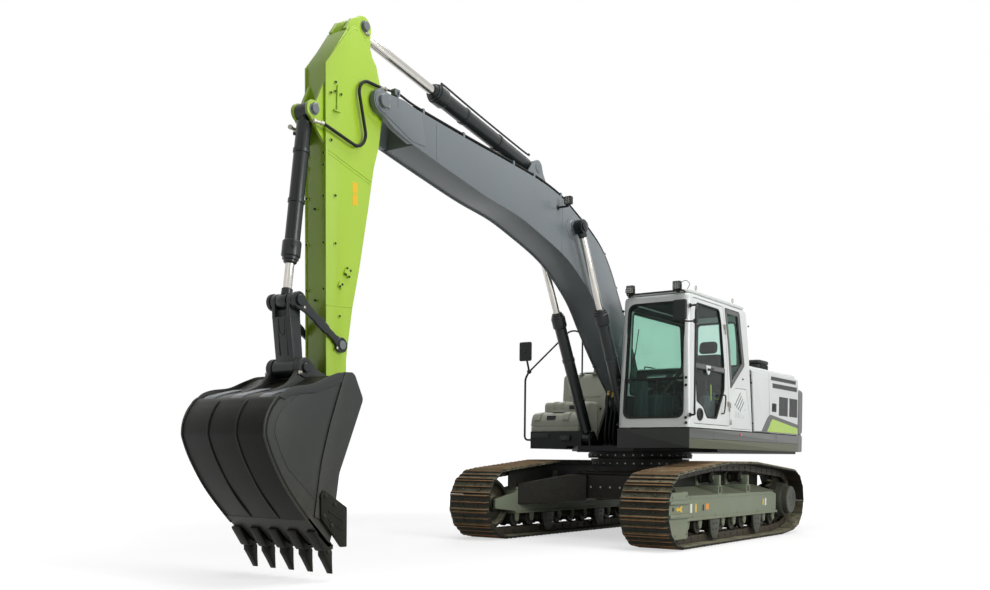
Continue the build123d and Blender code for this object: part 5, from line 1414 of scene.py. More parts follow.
# %% Side cutters, lip edge, adapters and teeth
cutters, cutter_bolts = Skin(), Skin()
for s in (1, -1):
    flat = fillet([(6446, 738), (6186, 590), (6186, 270), (6250, 270), (6336, 365), (6476, 512),
                   (6482, 700)], [12, 14, 10, 10, 30, 20, 12], 4)
    cutters.add(plate(flat, s * 490, s * 514, 4))
    for x, z in ((6433, 690), (6328, 618), (6448, 530), (6364, 452)):
        cutter_bolts.add(*side_bolt((x, z), 513, s, 19))
    for z in (0, 70):
        cutters.add(plate([(6400, 574 - z), (6400, 560 - z), (6236, 474 - z), (6236, 488 - z)],
                          s * 512, s * 520, 3))
put("bucket_cutters", cutters, bucket_black_shaded, "bucket")
put("bucket_cutter_bolts", cutter_bolts, frame_dark, "bucket")
teeth, tooth_pins = Skin(), Skin()
for y in (-440, -220, 0, 220, 440):
    shank = fillet([(6375, 289), (6515, 418), (6533, 398), (6436, 262), (6420, 244), (6318, 256),
                    (6318, 299)], [3, 14, 14, 20, 20, 14, 8], 3)
    teeth.add(plate(shank, y - 52, y + 52, 9))
    # tooth point: rings shrink and thin towards the tip
    t = np.linspace(0, 1, 7)[:, None]
    mid = (1 - t) * np.array([[6372, 256]]) + t * np.array([[6306, 58]])
    half = np.interp(t[:, 0], [0, 0.12, 0.4, 1], [44, 56, 38, 5])
    wide = np.interp(t[:, 0], [0, 0.12, 0.5, 1], [40, 44, 38, 30])
    ang = np.linspace(0, 2 * math.pi, 24, endpoint=False)
    across = np.array([0.949, 0, -0.316])
    sq = np.stack([np.sign(np.cos(ang)) * np.abs(np.cos(ang)) ** 0.45,
                   np.sign(np.sin(ang)) * np.abs(np.sin(ang)) ** 0.45], 1)
    rings = (np.stack([mid[:, 0], np.full(7, float(y)), mid[:, 1]], 1)[:, None, :]
             + sq[None, :, :1] * half[:, None, None] * across
             + sq[None, :, 1:] * wide[:, None, None] * np.array([0, 1.0, 0]))
    teeth.add(loft(rings))
    for s in (1, -1):
        tooth_pins.add(turned((6366, y + s * 44, 240), (0, s, 0), [(17, 0), (17, 5), (14, 7)], 18))
put("bucket_teeth_cast", teeth, bucket_black_shaded, "bucket", ["bucket_teeth"])
put("bucket_tooth_pins", tooth_pins, frame_dark, "bucket")

# %% Link between rod and bucket, forged side links
link = Skin()
eye(link, Q, 0, 78, 128, 40.4)
stem = np.array([(Q[0] - 55, Q[1] + 40), (R[0] - 62, R[1] - 130), (R[0] + 58, R[1] - 130),
                 (Q[0] + 52, Q[1] + 40)])
link.add(plate(fillet(stem, 8, 3), -105, 105, 7))
for s in (1, -1):
    link.add(
        plate(fillet([(R[0] - 62, R[1] - 145), (R[0] - 62, R[1]), (R[0] + 62, R[1]),
                      (R[0] + 58, R[1] - 145)], 8, 3), s * 68, s * 104, 5),
        boss(R, 68, s, [(60, 0), (66, 5), (66, 50), (61, 54)], 44))


def face_x(z):
    """Where the link's outer face is at a height."""
    return np.interp(z, [Q[1], R[1] - 130], [Q[0] + 52, R[0] + 58])


# a U-shaped raised edge on the front plate
half_turn = np.radians(np.linspace(0, -180, 14))
u_bend = np.stack([36 * np.cos(half_turn), 2050 + 50 * np.sin(half_turn)], 1)
u_line = np.vstack([[(36.0, 2180.0)], u_bend, [(-36.0, 2180.0)]])
u_line[:, 1] = np.minimum(u_line[:, 1], 2143)
link.add(tube(np.stack([face_x(u_line[:, 1]), u_line[:, 0], u_line[:, 1]], 1), 6, 8))
for s in (1, -1):
    link.add(tube([(face_x(1830), s * 46, 1830), (face_x(2120), s * 46, 2120)], 4, 8))
put("h_link_cast", link, cylinder_black, "h_link", ["h_link"])
side = Skin()
ax = np.array([R[0] - A[0], R[1] - A[1]])
ax /= np.linalg.norm(ax)
up = np.array([-ax[1], ax[0]])
for s in (1, -1):
    k = np.array([(55, 42), (100, 30), (190, 31), (215, 40), (330, 44), (355, 36), (480, 44), (545, 58)])
    flank = np.array(A)[None] + k[:, :1] * ax + k[:, 1:] * up
    other = np.array(A)[None] + k[::-1, :1] * ax - k[::-1, 1:] * up * 0.92
    side.add(
        plate(np.vstack([flank, other]), s * 131, s * 160, 6),
        boss(R, 129, s, [(68, 0), (72, 4), (72, 30), (67, 35), (52, 35), (50, 32), (46, 32), (44, 36),
                         (44, 52), (40, 55)], 48))
    rr = [(38.4, 0), (62, 0), (66, 4), (66, 30), (61, 34), (50, 34), (48, 31), (38.4, 31)]
    side.add(hollow((A[0], s * 129, A[1]), (0, s, 0), rr, 44))
put("side_links_forged", side, cylinder_black, "side_links", ["side_links"])
fits = Skin()
for s in (1, -1):
    for spot in (np.array(R) - 62 * ax * 1.22 - 14 * up, np.array(A) - 62 * up * 0.9 + 30 * ax):
        fits.add(*side_bolt(spot, 158, s, 13))
put("side_link_bolts", fits, bare_steel, "side_links")

# %% [markdown]
# ## Lines and hoses
# Steel lines follow the boom's top edge in clamps, as one tube round a bent line. A
# hose that crosses a hinge is one fixed tube on no body, over the pin and back under.

# %% Boom lines, clamps, and the hoses that cross the hinges
lines, clamps, ends_metal = Skin(), Skin(), Skin()
run = offset_line(curve([(5180, 4262), (4957, 4222), (4463, 4180), (3982, 4143), (3461, 4108), (3060, 4072),
                         (2833, 4053), (2398, 3972), (2072, 3848), (1727, 3702), (1439, 3533), (1212, 3303),
                         (1030, 3043), (760, 2643), (480, 2150)], 4), -1.0)
for s in (1, -1):
    for y, lift_by, r in ((172, 30, 11), (142, 30, 11), (100, 26, 9)):
        first = 0 if y == 172 else 4
        far_run = offset_line(run, -lift_by)[first:]
        lines.add(bead(far_run, s * y, r, 10))
    for k in (5, 10, 17, 22, 28, 34, 41, 47, 52):
        q, q2 = run[k], run[k + 1]
        d = (q2 - q) / np.linalg.norm(q2 - q)
        nrm = np.array([d[1], -d[0]])
        c4 = np.array([q - d * 14 - nrm * 4, q + d * 14 - nrm * 4, q + d * 14 + nrm * 46,
                       q - d * 14 + nrm * 46])
        clamps.add(
            plate(c4, s * 124, s * 190, 3),
            *hex_bolt((q[0] + nrm[0] * 45, s * 157, q[1] + nrm[1] * 45), (nrm[0], 0, nrm[1]), 9))
    # post that holds the lines near the head, with its clamp block
    clamps.add(
        box(5226, 5246, s * 192, s * 203, 4160, 4300, 2, 2),
        box(5206, 5276, s * 150, s * 203, 4262, 4318, 3, 4))
    ends_metal.add(turned((5432, s * 156, 4287), (-1, s * 0.05, 0.05),
                          [(14, 0), (18, 4), (18, 26), (14, 30), (14, 60), (19, 62), (19, 84), (13, 88)],
                          12))
    lines.add(tube([(5180, s * 172, 4292), (5280, s * 170, 4291), (5350, s * 160, 4291)], 10, 10, 5))
put("boom_lines", lines, rubber, "boom")
put("boom_line_clamps", clamps, slate_grey, "boom")
put("boom_line_ends", ends_metal, bare_steel, "boom")


def hose(name, line, r):
    """Hose along a line, a fixed tube on no body, its place baked into the mesh."""
    k = Skin(tube(line, r, 14))
    obj = put(name, k, rubber, None)
    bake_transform(obj)
    return obj


# the crossing hose: over the pin in one arc, down, and back under in a wider one
crossing = np.vstack([[(5432, 4287)], arc((5578, 4167), 120, 90, -14, 16),
                      arc((5746, 3821), 130, 166, 282.3, 18), [(6130, 3772)]])
for s in (1, -1):
    side_name = "left" if s > 0 else "right"
    fitting = Skin(turned((6128, s * 164, 3772), (1, -s * 0.25, 0.03),
                          [(12, 0), (18, 3), (18, 30), (14, 33), (14, 78), (20, 80), (20, 100), (14, 104)],
                          12))
    fitting = put("arm_hose_end_" + side_name, fitting, bare_steel, "arm")
    hose("s_hose_" + side_name, np.insert(crossing, 1, s * np.linspace(156, 164, len(crossing)), 1), 14)

# %% [markdown]
# ## Upper structure: skirts, housing, counterweight
# Panels are thin plates with soft edges, a few millimetres apart, so that the seams
# read as real gaps. A band is a ring between two insets of one outline: gaskets and
# window frames are made with it. Grilles are rows of slanted slats.

# %% Bands, and skins for panels
side_face, front_face, deck_end = 1343.0, 1393.0, -2380.0


def band(outline, outer, inner, lo, hi, axis="y"):
    """Ring between the outline inset by outer and by inner, from height lo to hi."""
    a, b = inset(outline, outer), inset(outline, inner)
    soft = 0.3 * min(abs(hi - lo), 8)
    rings = [lay(a, lo, axis), lay(a, hi - soft, axis), lay(inset(outline, outer + soft), hi, axis),
             lay(inset(outline, inner - soft), hi, axis), lay(b, hi - soft, axis), lay(b, lo, axis)]
    return loft(rings, close=False, wrap=True)


def stripe(name, outline, lifts, finish, body, s=1):
    """Painted field on the house's side face, between two heights off it, on side s."""
    lo, hi = (s * (side_face + lift) for lift in lifts)
    put(name, Skin(sticker(outline, lo, hi)), finish, body)


def slats(skin, x0, x1, z0, z1, y, pitch):
    """Slanted slats across an opening: every slat is one quad prism, tilted outwards."""
    z = np.arange(z0 + pitch * 0.6, z1 - pitch * 0.3, pitch)
    for zc in z:
        sec = np.array([(y - 9, zc - 4.2), (y - 7.6, zc - 5.4), (y, zc + 2.6), (y - 1.6, zc + 4.4)])
        skin.add(plate(sec, x0, x1, 0.6, "x", 1))
    for xc in np.linspace(x0, x1, 2 + int(abs(x1 - x0) // 210))[1:-1]:
        skin.add(box(xc - 4, xc + 4, y - 12, y - 2, z0, z1, 1, 1))


# %% Skirts in two bands, floor and mounts under the cab, counterweight
upper_band, lower_band, front_band, under = Skin(), Skin(), Skin(), Skin()
for s, x1 in ((1, front_face - 4), (-1, -560)):
    for target, z0, z1 in ((upper_band, 1262, 1380), (lower_band, 1146, 1260)):
        target.add(plate(fillet(rect(deck_end, x1, z0, z1), 3, 2), s * (side_face - 30), s * side_face, 4))
front_band.add(plate(fillet(rect(402, 1339, 1146, 1380), 4, 2), front_face - 30, front_face, 5, "x"))
for x in (-1480, 700):
    under.add(plate(rect(x - 1.5, x + 1.5, 1264, 1378), side_face - 0.4, side_face + 0.6, 0.3))
floor_plan = [(1363, 402), (1363, 1313), (500.3, 1313), (500.3, 760.3), (960.3, 402)]
under.add(plate(floor_plan, 1152, 1176, 3, "z"))
for y in (540, 1200):
    under.add(turned((1200, y, 1175), (0, 0, 1), [(60, 0), (60, 30), (44, 60), (44, 190), (56, 198),
                                                  (56, 215.7)], 28))
put("skirt_upper_band", upper_band, skirt_grey, "upper", ["skirts"])
put("skirt_lower_band", lower_band, skirt_olive, "upper")
# the front band is painted darker than the side bands, as shade
put("skirt_front", front_band, skirt_front_shaded, "upper")
put("cab_floor_and_mounts", under, frame_dark, "upper")
tail_half = [(-2560, side_face), (-2650, 1280), (-2760, 1060), (-2840, 760), (-2875, 380)]
tail = curve([*tail_half, (-2885, 0), *[(x, -y) for x, y in tail_half[::-1]]], 4)
tail = np.vstack([[(deck_end - 0.3, -side_face), (deck_end - 0.3, side_face)], tail])
weight = Skin(
    plate(inset(tail, 1), 1146, 1380, 14, "z"),
    plate(inset(tail, 1), 1388, 2060, 64, "z", 6),
    plate(inset(tail, 12), 1370, 1400, 2, "z", 1))
for y in (-640, 640):
    weight.add(plate(fillet([(-2700, 2040), (-2560, 2040), (-2590, 2120), (-2670, 2120)], 24, 4),
                     y - 18, y + 18, 6))
put("counterweight_cast", weight, skirt_grey, "upper", ["counterweight"])

# %% Engine side: front panel, grille door's slats, stripe, latch, hood, precleaner
panel = Skin(
    plate(fillet([(-660, 1392), (-1226, 1392), (-1150, 2194), (-562, 2194)], [4, 4, 14, 20], 3),
          side_face - 37, side_face, 12),
    plate(fillet([(-700, 1420), (-1140, 1420), (-1090, 2150), (-640, 2150)], 24, 4),
          side_face - 13, side_face + 0.2, 2))
put("side_panel_front", panel, cab_white, "upper", ["side_panel_left_front"])
grille = Skin()
openings = ((-1230, -2260, 2112, 2165), (-1290, -2310, 2010, 2075), (-1560, -1935, 1640, 1905),
            (-1985, -2340, 1640, 1905))
for x0, x1, z0, z1 in openings:
    slats(grille, x1 + 2, x0 - 2, z0 + 1, z1 - 1, 1341.5, 11.0 if z1 - z0 > 100 else 9.5)
    grille.add(box(x1 + 1, x0 - 1, 1330, 1332, z0 + 1, z1 - 1, 0.5, 1))
put("grille_slats", grille, grille_dark, "side_door_left", ["grilles"])
frames = Skin()
for x0, x1, z0, z1 in openings:
    frames.add(band(rect(x1, x0, z0, z1), -7, 1, 1341.5, 1344.4))
put("grille_frames", frames, cab_white, "side_door_left")


def seam_x(z):
    """Where the gap between front panel and engine door runs at a height."""
    return -1229 + (z - 1392) * 76 / 798


border, filling = (0.1, 1.2), (0.9, 2.2)     # heights off the side face
stripe("stripe_outline_front",
       [(-900, 1397), (seam_x(1397) + 4, 1397), (seam_x(1634) + 4, 1634), (-1185, 1628), (-1108, 1583),
        (-985, 1478)], border, skirt_grey, "upper")
stripe("stripe_front", [(-1115, 1406), (seam_x(1406) + 4, 1406), (seam_x(1502) + 4, 1502)], filling,
       lime_green, "upper")
stripe("stripe_outline_door",
       [(seam_x(1397) - 4, 1397), (-2368, 1397), (-2356, 1541), (-1262, 1640), (seam_x(1636) - 4, 1636)],
       border, skirt_grey, "side_door_left")
stripe("stripe_door",
       [(seam_x(1406) - 4, 1406), (-2362, 1406), (-2350, 1488), (-1310, 1584), (-1280, 1560),
        (seam_x(1512) - 4, 1512)], filling, lime_green, "side_door_left")
latch = Skin(
    band(fillet(rect(-1457, -1292, 1684, 1801), 14, 3), 0, 12, 1341, 1348),
    box(-1450, -1299, 1341, 1344.5, 1690, 1795, 1, 10),
    box(-1440, -1360, side_face, side_face + 7, 1722, 1784, 3, 12),
    turned((-1326, side_face, 1712), (0, 1, 0), [(11, 0), (11, 5), (9, 6)], 20))
put("door_latch", latch, black_plastic, "side_door_left")
hood = Skin()
outer = fillet([(-1300, 2197), (-1300, 2240), (-1215, 2275), (1215, 2275), (1300, 2240), (1300, 2197)],
               [0.1, 40, 90, 90, 40, 0.1], 6)
hood.add(plate(np.vstack([outer, [(1270, 2197), (1165, 2252), (-1165, 2252), (-1270, 2197)]]),
               -2320, -560, 8, "x"))
for x in (-2314, -574):
    hood.add(plate([(-1268, 2197), (-1165, 2251), (1165, 2251), (1268, 2197)], x - 6, x + 6, 1, "x"))
hood.add(plate(fillet(rect(-2260, -1180, -420, 560), 50, 5), 2270, 2283, 8, "z"))
for y in (-760, 600):
    hood.add(pin_y(-2320, 2200, 7, y, y + 160, 1))
put("engine_hood_pressed", hood, cab_white, "engine_hood", ["engine_hood"])
vents, hood_bits = Skin(), Skin()
for x in np.arange(-2200, -1240, 60):
    vents.add(box(x, x + 26, -360, 500, 2281, 2286, 1.5, 2))
for y in (-500, 500):
    hood_bits.add(tube([(-1100, y + 160, 2270), (-1100, y + 160, 2318), (-1060, y + 160, 2330),
                        (-820, y + 160, 2330), (-780, y + 160, 2318), (-780, y + 160, 2270)], 9, 10, 4))
put("hood_vents", vents, grille_dark, "engine_hood")
put("hood_grab_rails", hood_bits, black_plastic, "engine_hood")
cleaner = Skin(
    plate(fillet(rect(-2130, -1710, 690, 1010), 60, 5), 2275.5, 2300, 4, "z"),
    plate(fillet(rect(-2112, -1728, 708, 992), 70, 6), 2298, 2390, 3, "z"),
    plate(fillet(rect(-2118, -1722, 702, 998), 74, 6), 2394, 2455, 44, "z", 6))
for x in np.arange(-2050, -1780, 24):
    cleaner.add(box(x, x + 10, 700, 1000, 2310, 2386, 2, 2))
put("precleaner_moulded", cleaner, black_plastic, "engine_hood", ["precleaner"])

# %% Tanks, toolbox and deck
tank = Skin(
    plate(fillet([(-540, 1181), (90, 1181), (90, 1840), (62, 2187), (-540, 2187)], [4, 4, 60, 70, 50], 6),
          -1180, -470, 46, steps=5),
    plate(fillet(rect(-1060, -560, 1862, 1900), 16, 4), 84, 92, 2, "x"),
    turned((0, -640, 2180), (0, 0, 1), [(92, 0), (92, 10), (76, 12), (74, 88)], 40))
put("hydraulic_tank_welded", tank, tank_paint, "upper", ["hydraulic_tank"])
bits = Skin()
for y in (-1080, -560):
    for z in (1260, 1700):
        bits.add(*hex_bolt((91, y, z), (1, 0, 0), 14))
for x, y in circle((-330, -830), 95, 8):
    bits.add(*hex_bolt((x, y, 2187), (0, 0, 1), 10))
bits.add(turned((-330, -830, 2186), (0, 0, 1), [(118, 0), (118, 6), (112, 8)], 40))
put("tank_bolts", bits, frame_dark, "upper")
cap = Skin(turned((0, -640, 2268), (0, 0, 1), [(70, 0), (86, 3), (88, 8), (88, 26), (80, 32)], 44))
for x, y in circle((0, -640), 88, 24):
    cap.add(turned((x, y, 2274), (0, 0, 1), [(3, 0), (3, 18), (1, 20)], 6))
put("breather_cap_ribbed", cap, black_plastic, "upper", ["breather_cap"])
fuel = Skin(plate(fillet(rect(100, 380, 1181, 1790), [4, 4, 70, 60], 6), -1290, -590, 34, steps=5))
for y in (-1115, -985):
    fuel.add(plate(fillet([(120, 1700), (386, 1700), (386, 1770), (352, 1797), (120, 1797)],
                          [2, 2, 40, 24, 2], 4), y - 22, y + 22, 6))
put("fuel_tank_welded", fuel, tank_paint, "upper", ["fuel_tank"])
handle = Skin(
    box(378, 386, -880, -780, 1684, 1738, 3, 6),
    tube([(383, -860, 1716), (390, -850, 1722), (390, -810, 1722), (383, -800, 1716)], 4, 8, 3))
put("fuel_box_handle", handle, black_plastic, "upper")
tray = Skin(plate(fillet(rect(390, 640, -1335, -575), 24, 4), 1378.5, 1445.5, 5, "z"))
put("toolbox_tray", tray, tank_paint, "upper", ["toolbox"])
lid = Skin()
lid_line = fillet([(392, 1447), (392, 1640), (520, 1640), (605, 1606), (640, 1520), (640, 1447)],
                  [2, 10, 40, 50, 40, 2], 5)
lid.add(plate(lid_line, -1335, -575, 22, steps=5))
for y in (-1230, -778):
    lid.add(plate(fillet([(470, 1634), (540, 1642), (618, 1612), (652, 1530), (640, 1526), (604, 1600),
                          (530, 1630)], 6, 2), y - 48, y + 48, 5))
lid.add(box(440, 560, -1050, -870, 1638, 1652, 5, 5), pin_y(392, 1640, 5, -1283, -627, 1))
put("toolbox_lid_pressed", lid, tank_paint, "toolbox_lid", ["toolbox_lid"])
lock = Skin()


def on_lid(flat, h):
    """Points across the lid's sloped face: along y, down the slope, and h outwards."""
    down = np.array([0.377, 0, -0.926])
    out = np.array([0.926, 0, 0.377])
    return np.array([612.0, 0, 1588.0]) + flat[:, :1] * [0, 1.0, 0] + flat[:, 1:] * down + h * out


lock.add(
    band(fillet(rect(-1085, -946, 0, 58), 10, 3), 0, 12, -3, 9, on_lid),
    plate(fillet(rect(-1080, -950, 4, 54), 8, 3), -3, 3, 1, on_lid),
    plate(fillet(rect(-1050, -985, 18, 42), 6, 3), 2, 8, 2, on_lid))
put("toolbox_latch", lock, black_plastic, "toolbox_lid")
deck_bits, lens, plates = Skin(), Skin(), Skin()
deck_bits.add(
    plate(fillet(rect(-1330, -1040, 1290, 1352), 8, 3), 640, 650, 3, "x"),
    box(640, 672, -850, -700, 1250, 1320, 6, 8))
lens.add(turned((671, -775, 1285), (1, 0, 0), [(26, 0), (26, 5), (20, 9)], 28))
for y in (-868, -682):
    deck_bits.add(*hex_bolt((640, y, 1285), (1, 0, 0), 14))
for x in np.arange(-480, 360, 60):
    plates.add(box(x, x + 22, -1330, -1196, 1180, 1184, 1, 2))
put("deck_fittings", deck_bits, black_plastic, "upper")
put("deck_lamp_lens", lens, lamp_lens, "upper")
put("deck_treads", plates, frame_dark, "upper")

# %% [markdown]
# ## Cab
# The shell is a stack of rounded rectangles whose front and sides lean in with height.
# A smaller stack and the window shapes are cut out of it with exact booleans, so walls
# get their thickness and the corners stay round. Gaskets, hinges and panes sit on the
# leaning walls: a point of theirs is an (x, z) or (y, z) pair and a height off the wall.

# %% Leaning walls and the carved shell
cab_z0, cab_z1 = 1391.0, 2960.0


def wall_y(z):
    """Outer face of the left wall at height z."""
    return side_face - 50 * (np.asarray(z) - cab_z0) / (cab_z1 - cab_z0)


def wall_at(z):
    """The same face at one height, as a plain number."""
    return float(wall_y(z))


def left_wall(flat, h):
    """(x, z) pairs laid on the left wall, h outwards."""
    return np.stack([flat[:, 0], wall_y(flat[:, 1]) + h, flat[:, 1]], 1)


def front_at(z):
    """Outer face of the front wall at height z."""
    return np.interp(z, [cab_z0, 2300, cab_z1], [front_face, 1372, 1330])


def front_wall(flat, h):
    """(y, z) pairs laid on the front wall, h outwards."""
    return np.stack([front_at(flat[:, 1]) + h, flat[:, 0], flat[:, 1]], 1)


def rear_at(z):
    """Outer face of the rear wall at height z."""
    return np.interp(z, [cab_z0, 2200, 2544, cab_z1], [-600, -540, -500, -430])


def rear_wall(flat, h):
    """(y, z) pairs laid on the rear wall, h outwards."""
    return np.stack([rear_at(flat[:, 1]) - h, flat[:, 0], flat[:, 1]], 1)


def right_at(z):
    """Outer face of the right wall at height z."""
    return 398 + 35 * (z - cab_z0) / (cab_z1 - cab_z0)


def right_wall(flat, h):
    """(x, z) pairs laid on the right wall, h outwards."""
    return np.stack([flat[:, 0], right_at(flat[:, 1]) - h, flat[:, 1]], 1)


def cab_ring(z, t, height):
    """Rounded plan of the cab at height z, moved in by t, laid at a height."""
    x1, x0, y1, y0 = front_at(z), rear_at(z), wall_y(z), right_at(z)
    flat = fillet([(x0 + t, y0 + t), (x0 + t, y1 - t), (x1 - t, y1 - t), (x1 - t, y0 + t)],
                  np.maximum(np.array([46, 46, 78, 78]) - t * 0.6, 12), 6)
    return lay(flat, height, "z")


def stack(t, bottom, top, soft):
    """Closed stack of cab plans between two heights; the top edge is rounded."""
    levels = [bottom, 1800, 2200, 2300, 2544, 2750, top - soft]
    rings = [cab_ring(z, t, z) for z in levels]
    a = np.linspace(0, math.pi / 2, 6)[1:]
    rings += [cab_ring(top, t + soft * (1 - math.cos(k)), top - soft + soft * math.sin(k)) for k in a]
    return loft(rings)


def carve(obj, cutters):
    """Cuts closed skins out of an object with exact booleans and keeps the result."""
    made = []
    for pts, faces in cutters:
        mesh = bpy.data.meshes.new("cutter")
        mesh.from_pydata((pts * MM).tolist(), [], [f for g in faces for f in np.asarray(g).tolist()])
        bm = bmesh.new()
        bm.from_mesh(mesh)
        bmesh.ops.recalc_face_normals(bm, faces=bm.faces)
        bm.to_mesh(mesh)
        bm.free()
        tool = bpy.data.objects.new("cutter", mesh)
        scene.collection.objects.link(tool)
        cut = obj.modifiers.new("cut", "BOOLEAN")
        cut.operation, cut.solver, cut.object = "DIFFERENCE", "EXACT", tool
        made.append(tool)
    bpy.context.view_layer.update()
    result = bpy.data.meshes.new_from_object(obj.evaluated_get(bpy.context.evaluated_depsgraph_get()))
    obj.modifiers.clear()
    obj.data = result
    for tool in made:
        bpy.data.objects.remove(tool)
    bm = bmesh.new()
    bm.from_mesh(result)
    for f in bm.faces:
        f.smooth = True
    for e in bm.edges:
        e.smooth = not (len(e.link_faces) == 2 and e.calc_face_angle(0) > math.radians(30))
    bm.to_mesh(result)
    bm.free()


def soft_cut(outline, r, lo, hi, axis):
    """Window cutter: outline with round corners through a wall."""
    return plate(fillet(outline, r, 5), lo, hi, 0.01, axis, 1)


door_side = [(1296, 1440), (1296, 2300), (1250, 2905), (350, 2905), (262, 2434), (222, 1839), (190, 1440)]
pane_up = [(1200, 2140), (1190, 2780), (1140, 2860), (470, 2860), (412, 2700), (330, 2140)]
pane_low = [(1200, 2100), (1190, 1700), (1010, 1640), (900, 1510), (600, 1510), (345, 1870), (325, 2100)]
quarter = [(300, 2905), (-180, 2905), (-330, 2230), (150, 1900), (205, 2434)]
access = [(150, 1412), (165, 1780), (-10, 1920), (-370, 1930), (-550, 1412)]
screen = [(478, 1500), (1258, 1500), (1240, 2862), (515, 2862)]
rear_pane = [(560, 2250), (1180, 2250), (1150, 2820), (600, 2820)]
right_pane = [(1180, 1800), (1150, 2800), (-300, 2800), (-380, 2250), (300, 1800)]
shell = Skin(stack(0, cab_z0, cab_z1, 42))
cab = put("cab_shell_pressed", shell, cab_white, "upper", ["cab_shell"])
carve(cab, [stack(45, cab_z0 + 45, cab_z1 - 40, 30),
            soft_cut(inset(np.array(door_side, float), -6), 60, 1200, 1420, "y"),
            soft_cut(quarter, 36, 1200, 1420, "y"),
            soft_cut(inset(np.array(access, float), -5), 26, 1200, 1420, "y"),
            soft_cut(screen, 100, 1250, 1460, "x"),
            soft_cut(rear_pane, 60, -640, -380, "x"),
            soft_cut(right_pane, 60, 360, 520, "y")])
roof = Skin(
    plate(fillet([(-424, 446), (-424, 1284), (1319, 1284), (1319, 446)], 90, 6), 2960.5, 3003, 36, "z", 6),
    plate(fillet(rect(140, 900, 560, 1170), 40, 4), 3001, 3022, 8, "z"))
put("cab_roof_pressed", roof, cab_white, "upper", ["cab_roof"])

# %% Gaskets, windscreen bar, wiper, frame of the quarter window, pillar bolts
rubber_parts, grey_frames, bolts = Skin(), Skin(), Skin()
round_screen = fillet(screen, 100, 6)
rubber_parts.add(
    band(round_screen, -6, 16, -50, 6, front_wall),
    plate([(486, 1946), (1250, 1946), (1250, 1974), (488, 1974)], -30, -8, 3, front_wall),
    band(fillet(rear_pane, 60, 5), -8, 14, -50, 6, rear_wall),
    band(fillet(right_pane, 60, 5), -8, 14, -50, 6, right_wall),
    band(fillet(quarter, 36, 5), 0, 9, -54, 3.5, left_wall))
grey_frames.add(band(fillet(quarter, 36, 5), 8, 62, -22, 1.5, left_wall))
put("cab_gaskets", rubber_parts, rubber, "upper")
put("quarter_frame", grey_frames, skirt_grey, "upper")
for y, z in ((1284, 1964), (1284, 1876), (1290, 1500), (1296, 1440), (412, 1958), (412, 1868), (408, 1426),
             (438, 2790)):
    bolts.add(turned((front_at(z) - 2, y, z), (1, 0, 0),
                     [(17, 0), (17, 5), (15, 7), (10, 7), (10, 16), (7, 18)], 20))
for x, z in ((-263, 2054), (-572, 1500), (-480, 2760), (-560, 2030)):
    bolts.add(turned((x, wall_at(z) - 2, z), (0, 1, 0),
                     [(13, 0), (13, 5), (11, 7), (8, 7), (8, 14), (5, 15)], 18))
put("cab_bolts", bolts, frame_dark, "upper")
wiper = Skin()
foot_at = np.array([front_at(1935) + 4, 560, 1935])
wiper.add(
    turned(foot_at - [8, 0, 0], (1, 0, 0), [(20, 0), (20, 16), (12, 24)], 20),
    tube([foot_at + [14, 0, 0], (front_at(2150) + 16, 590, 2150), (front_at(2330) + 12, 640, 2330)], 6, 8,
         4),
    tube([(front_at(2100) + 5, 600, 2100), (front_at(2560) + 5, 660, 2560)], 5, 6))
put("windscreen_wiper", wiper, black_plastic, "upper")
rings = Skin()
for x in (978, -156):
    at = np.array([x, 1212, 3030.0])
    t = np.linspace(0, 2 * math.pi, 25)
    rings.add(
        tube(np.stack([at[0] + 22 * np.sin(t), np.full(25, at[1]), at[2] + 30 + 24 * np.cos(t)], 1), 5, 8),
        turned(at - [0, 0, 32], (0, 0, 1), [(18, 0), (18, 8), (10, 12), (10, 38)], 16))
put("roof_eyes", rings, bare_steel, "upper")

# %% Door: leaf, panes' frames, bar with latch plate, vent ring, hinges, handle
leaf = Skin(plate(fillet(door_side, 54, 5), -38, 0, 5, left_wall))
door = put("cab_door_pressed", leaf, cab_white, "cab_door", ["cab_door"])
carve(door, [soft_cut(pane_up, 50, 1150, 1420, "y"), soft_cut(pane_low, 34, 1150, 1420, "y")])
door_rubber, door_grey, door_black, door_white = Skin(), Skin(), Skin(), Skin()
door_rubber.add(
    band(fillet(pane_up, 50, 5), -3, 16, -30, 2.5, left_wall),
    band(fillet(pane_low, 34, 5), -2, 20, -30, 2.5, left_wall),
    band(fillet(door_side, 54, 5), -4.5, -1, -30, -6, left_wall))
door_grey.add(plate(fillet([(318, 2092), (1206, 2092), (1206, 2146), (322, 2146)], 8, 3),
                    -2, 4, 2, left_wall))
door_white.add(plate(fillet([(770, 2140), (910, 2140), (900, 2075), (845, 2020), (790, 2075)],
                            [10, 10, 24, 22, 24], 4), 3, 12, 4, left_wall))
door_black.add(
    plate(fillet(rect(800, 884, 2078, 2106), 8, 3), 11, 26, 4, left_wall),
    plate(fillet([(690, 2100), (775, 2104), (775, 2122), (690, 2118)], 6, 3), 3, 16, 3, left_wall),
    turned((1112, wall_at(1546) - 6, 1546), (0, 1, 0),
           [(74, 0), (74, 20), (66, 28), (54, 26), (50, 12), (20, 12), (18, 16)], 44))
for k in range(5):
    z = 1546 + (k - 2) * 16
    w = math.sqrt(46 ** 2 - (k - 2) ** 2 * 256)
    door_black.add(tube([(1112 - w, wall_at(z) + 13, z), (1112 + w, wall_at(z) + 13, z)], 3, 6))
door_black.add(tube([(470, 1345, 1585), (452, 1372, 1590), (430, 1378, 1700), (420, 1374, 1800),
                     (432, 1338, 1812)], 9, 8, 4))
put("door_rubber", door_rubber, rubber, "cab_door")
put("door_bar", door_grey, skirt_grey, "cab_door")
put("door_latch_plate", door_white, cab_white, "cab_door")
put("door_vent_and_handle", door_black, black_plastic, "cab_door")


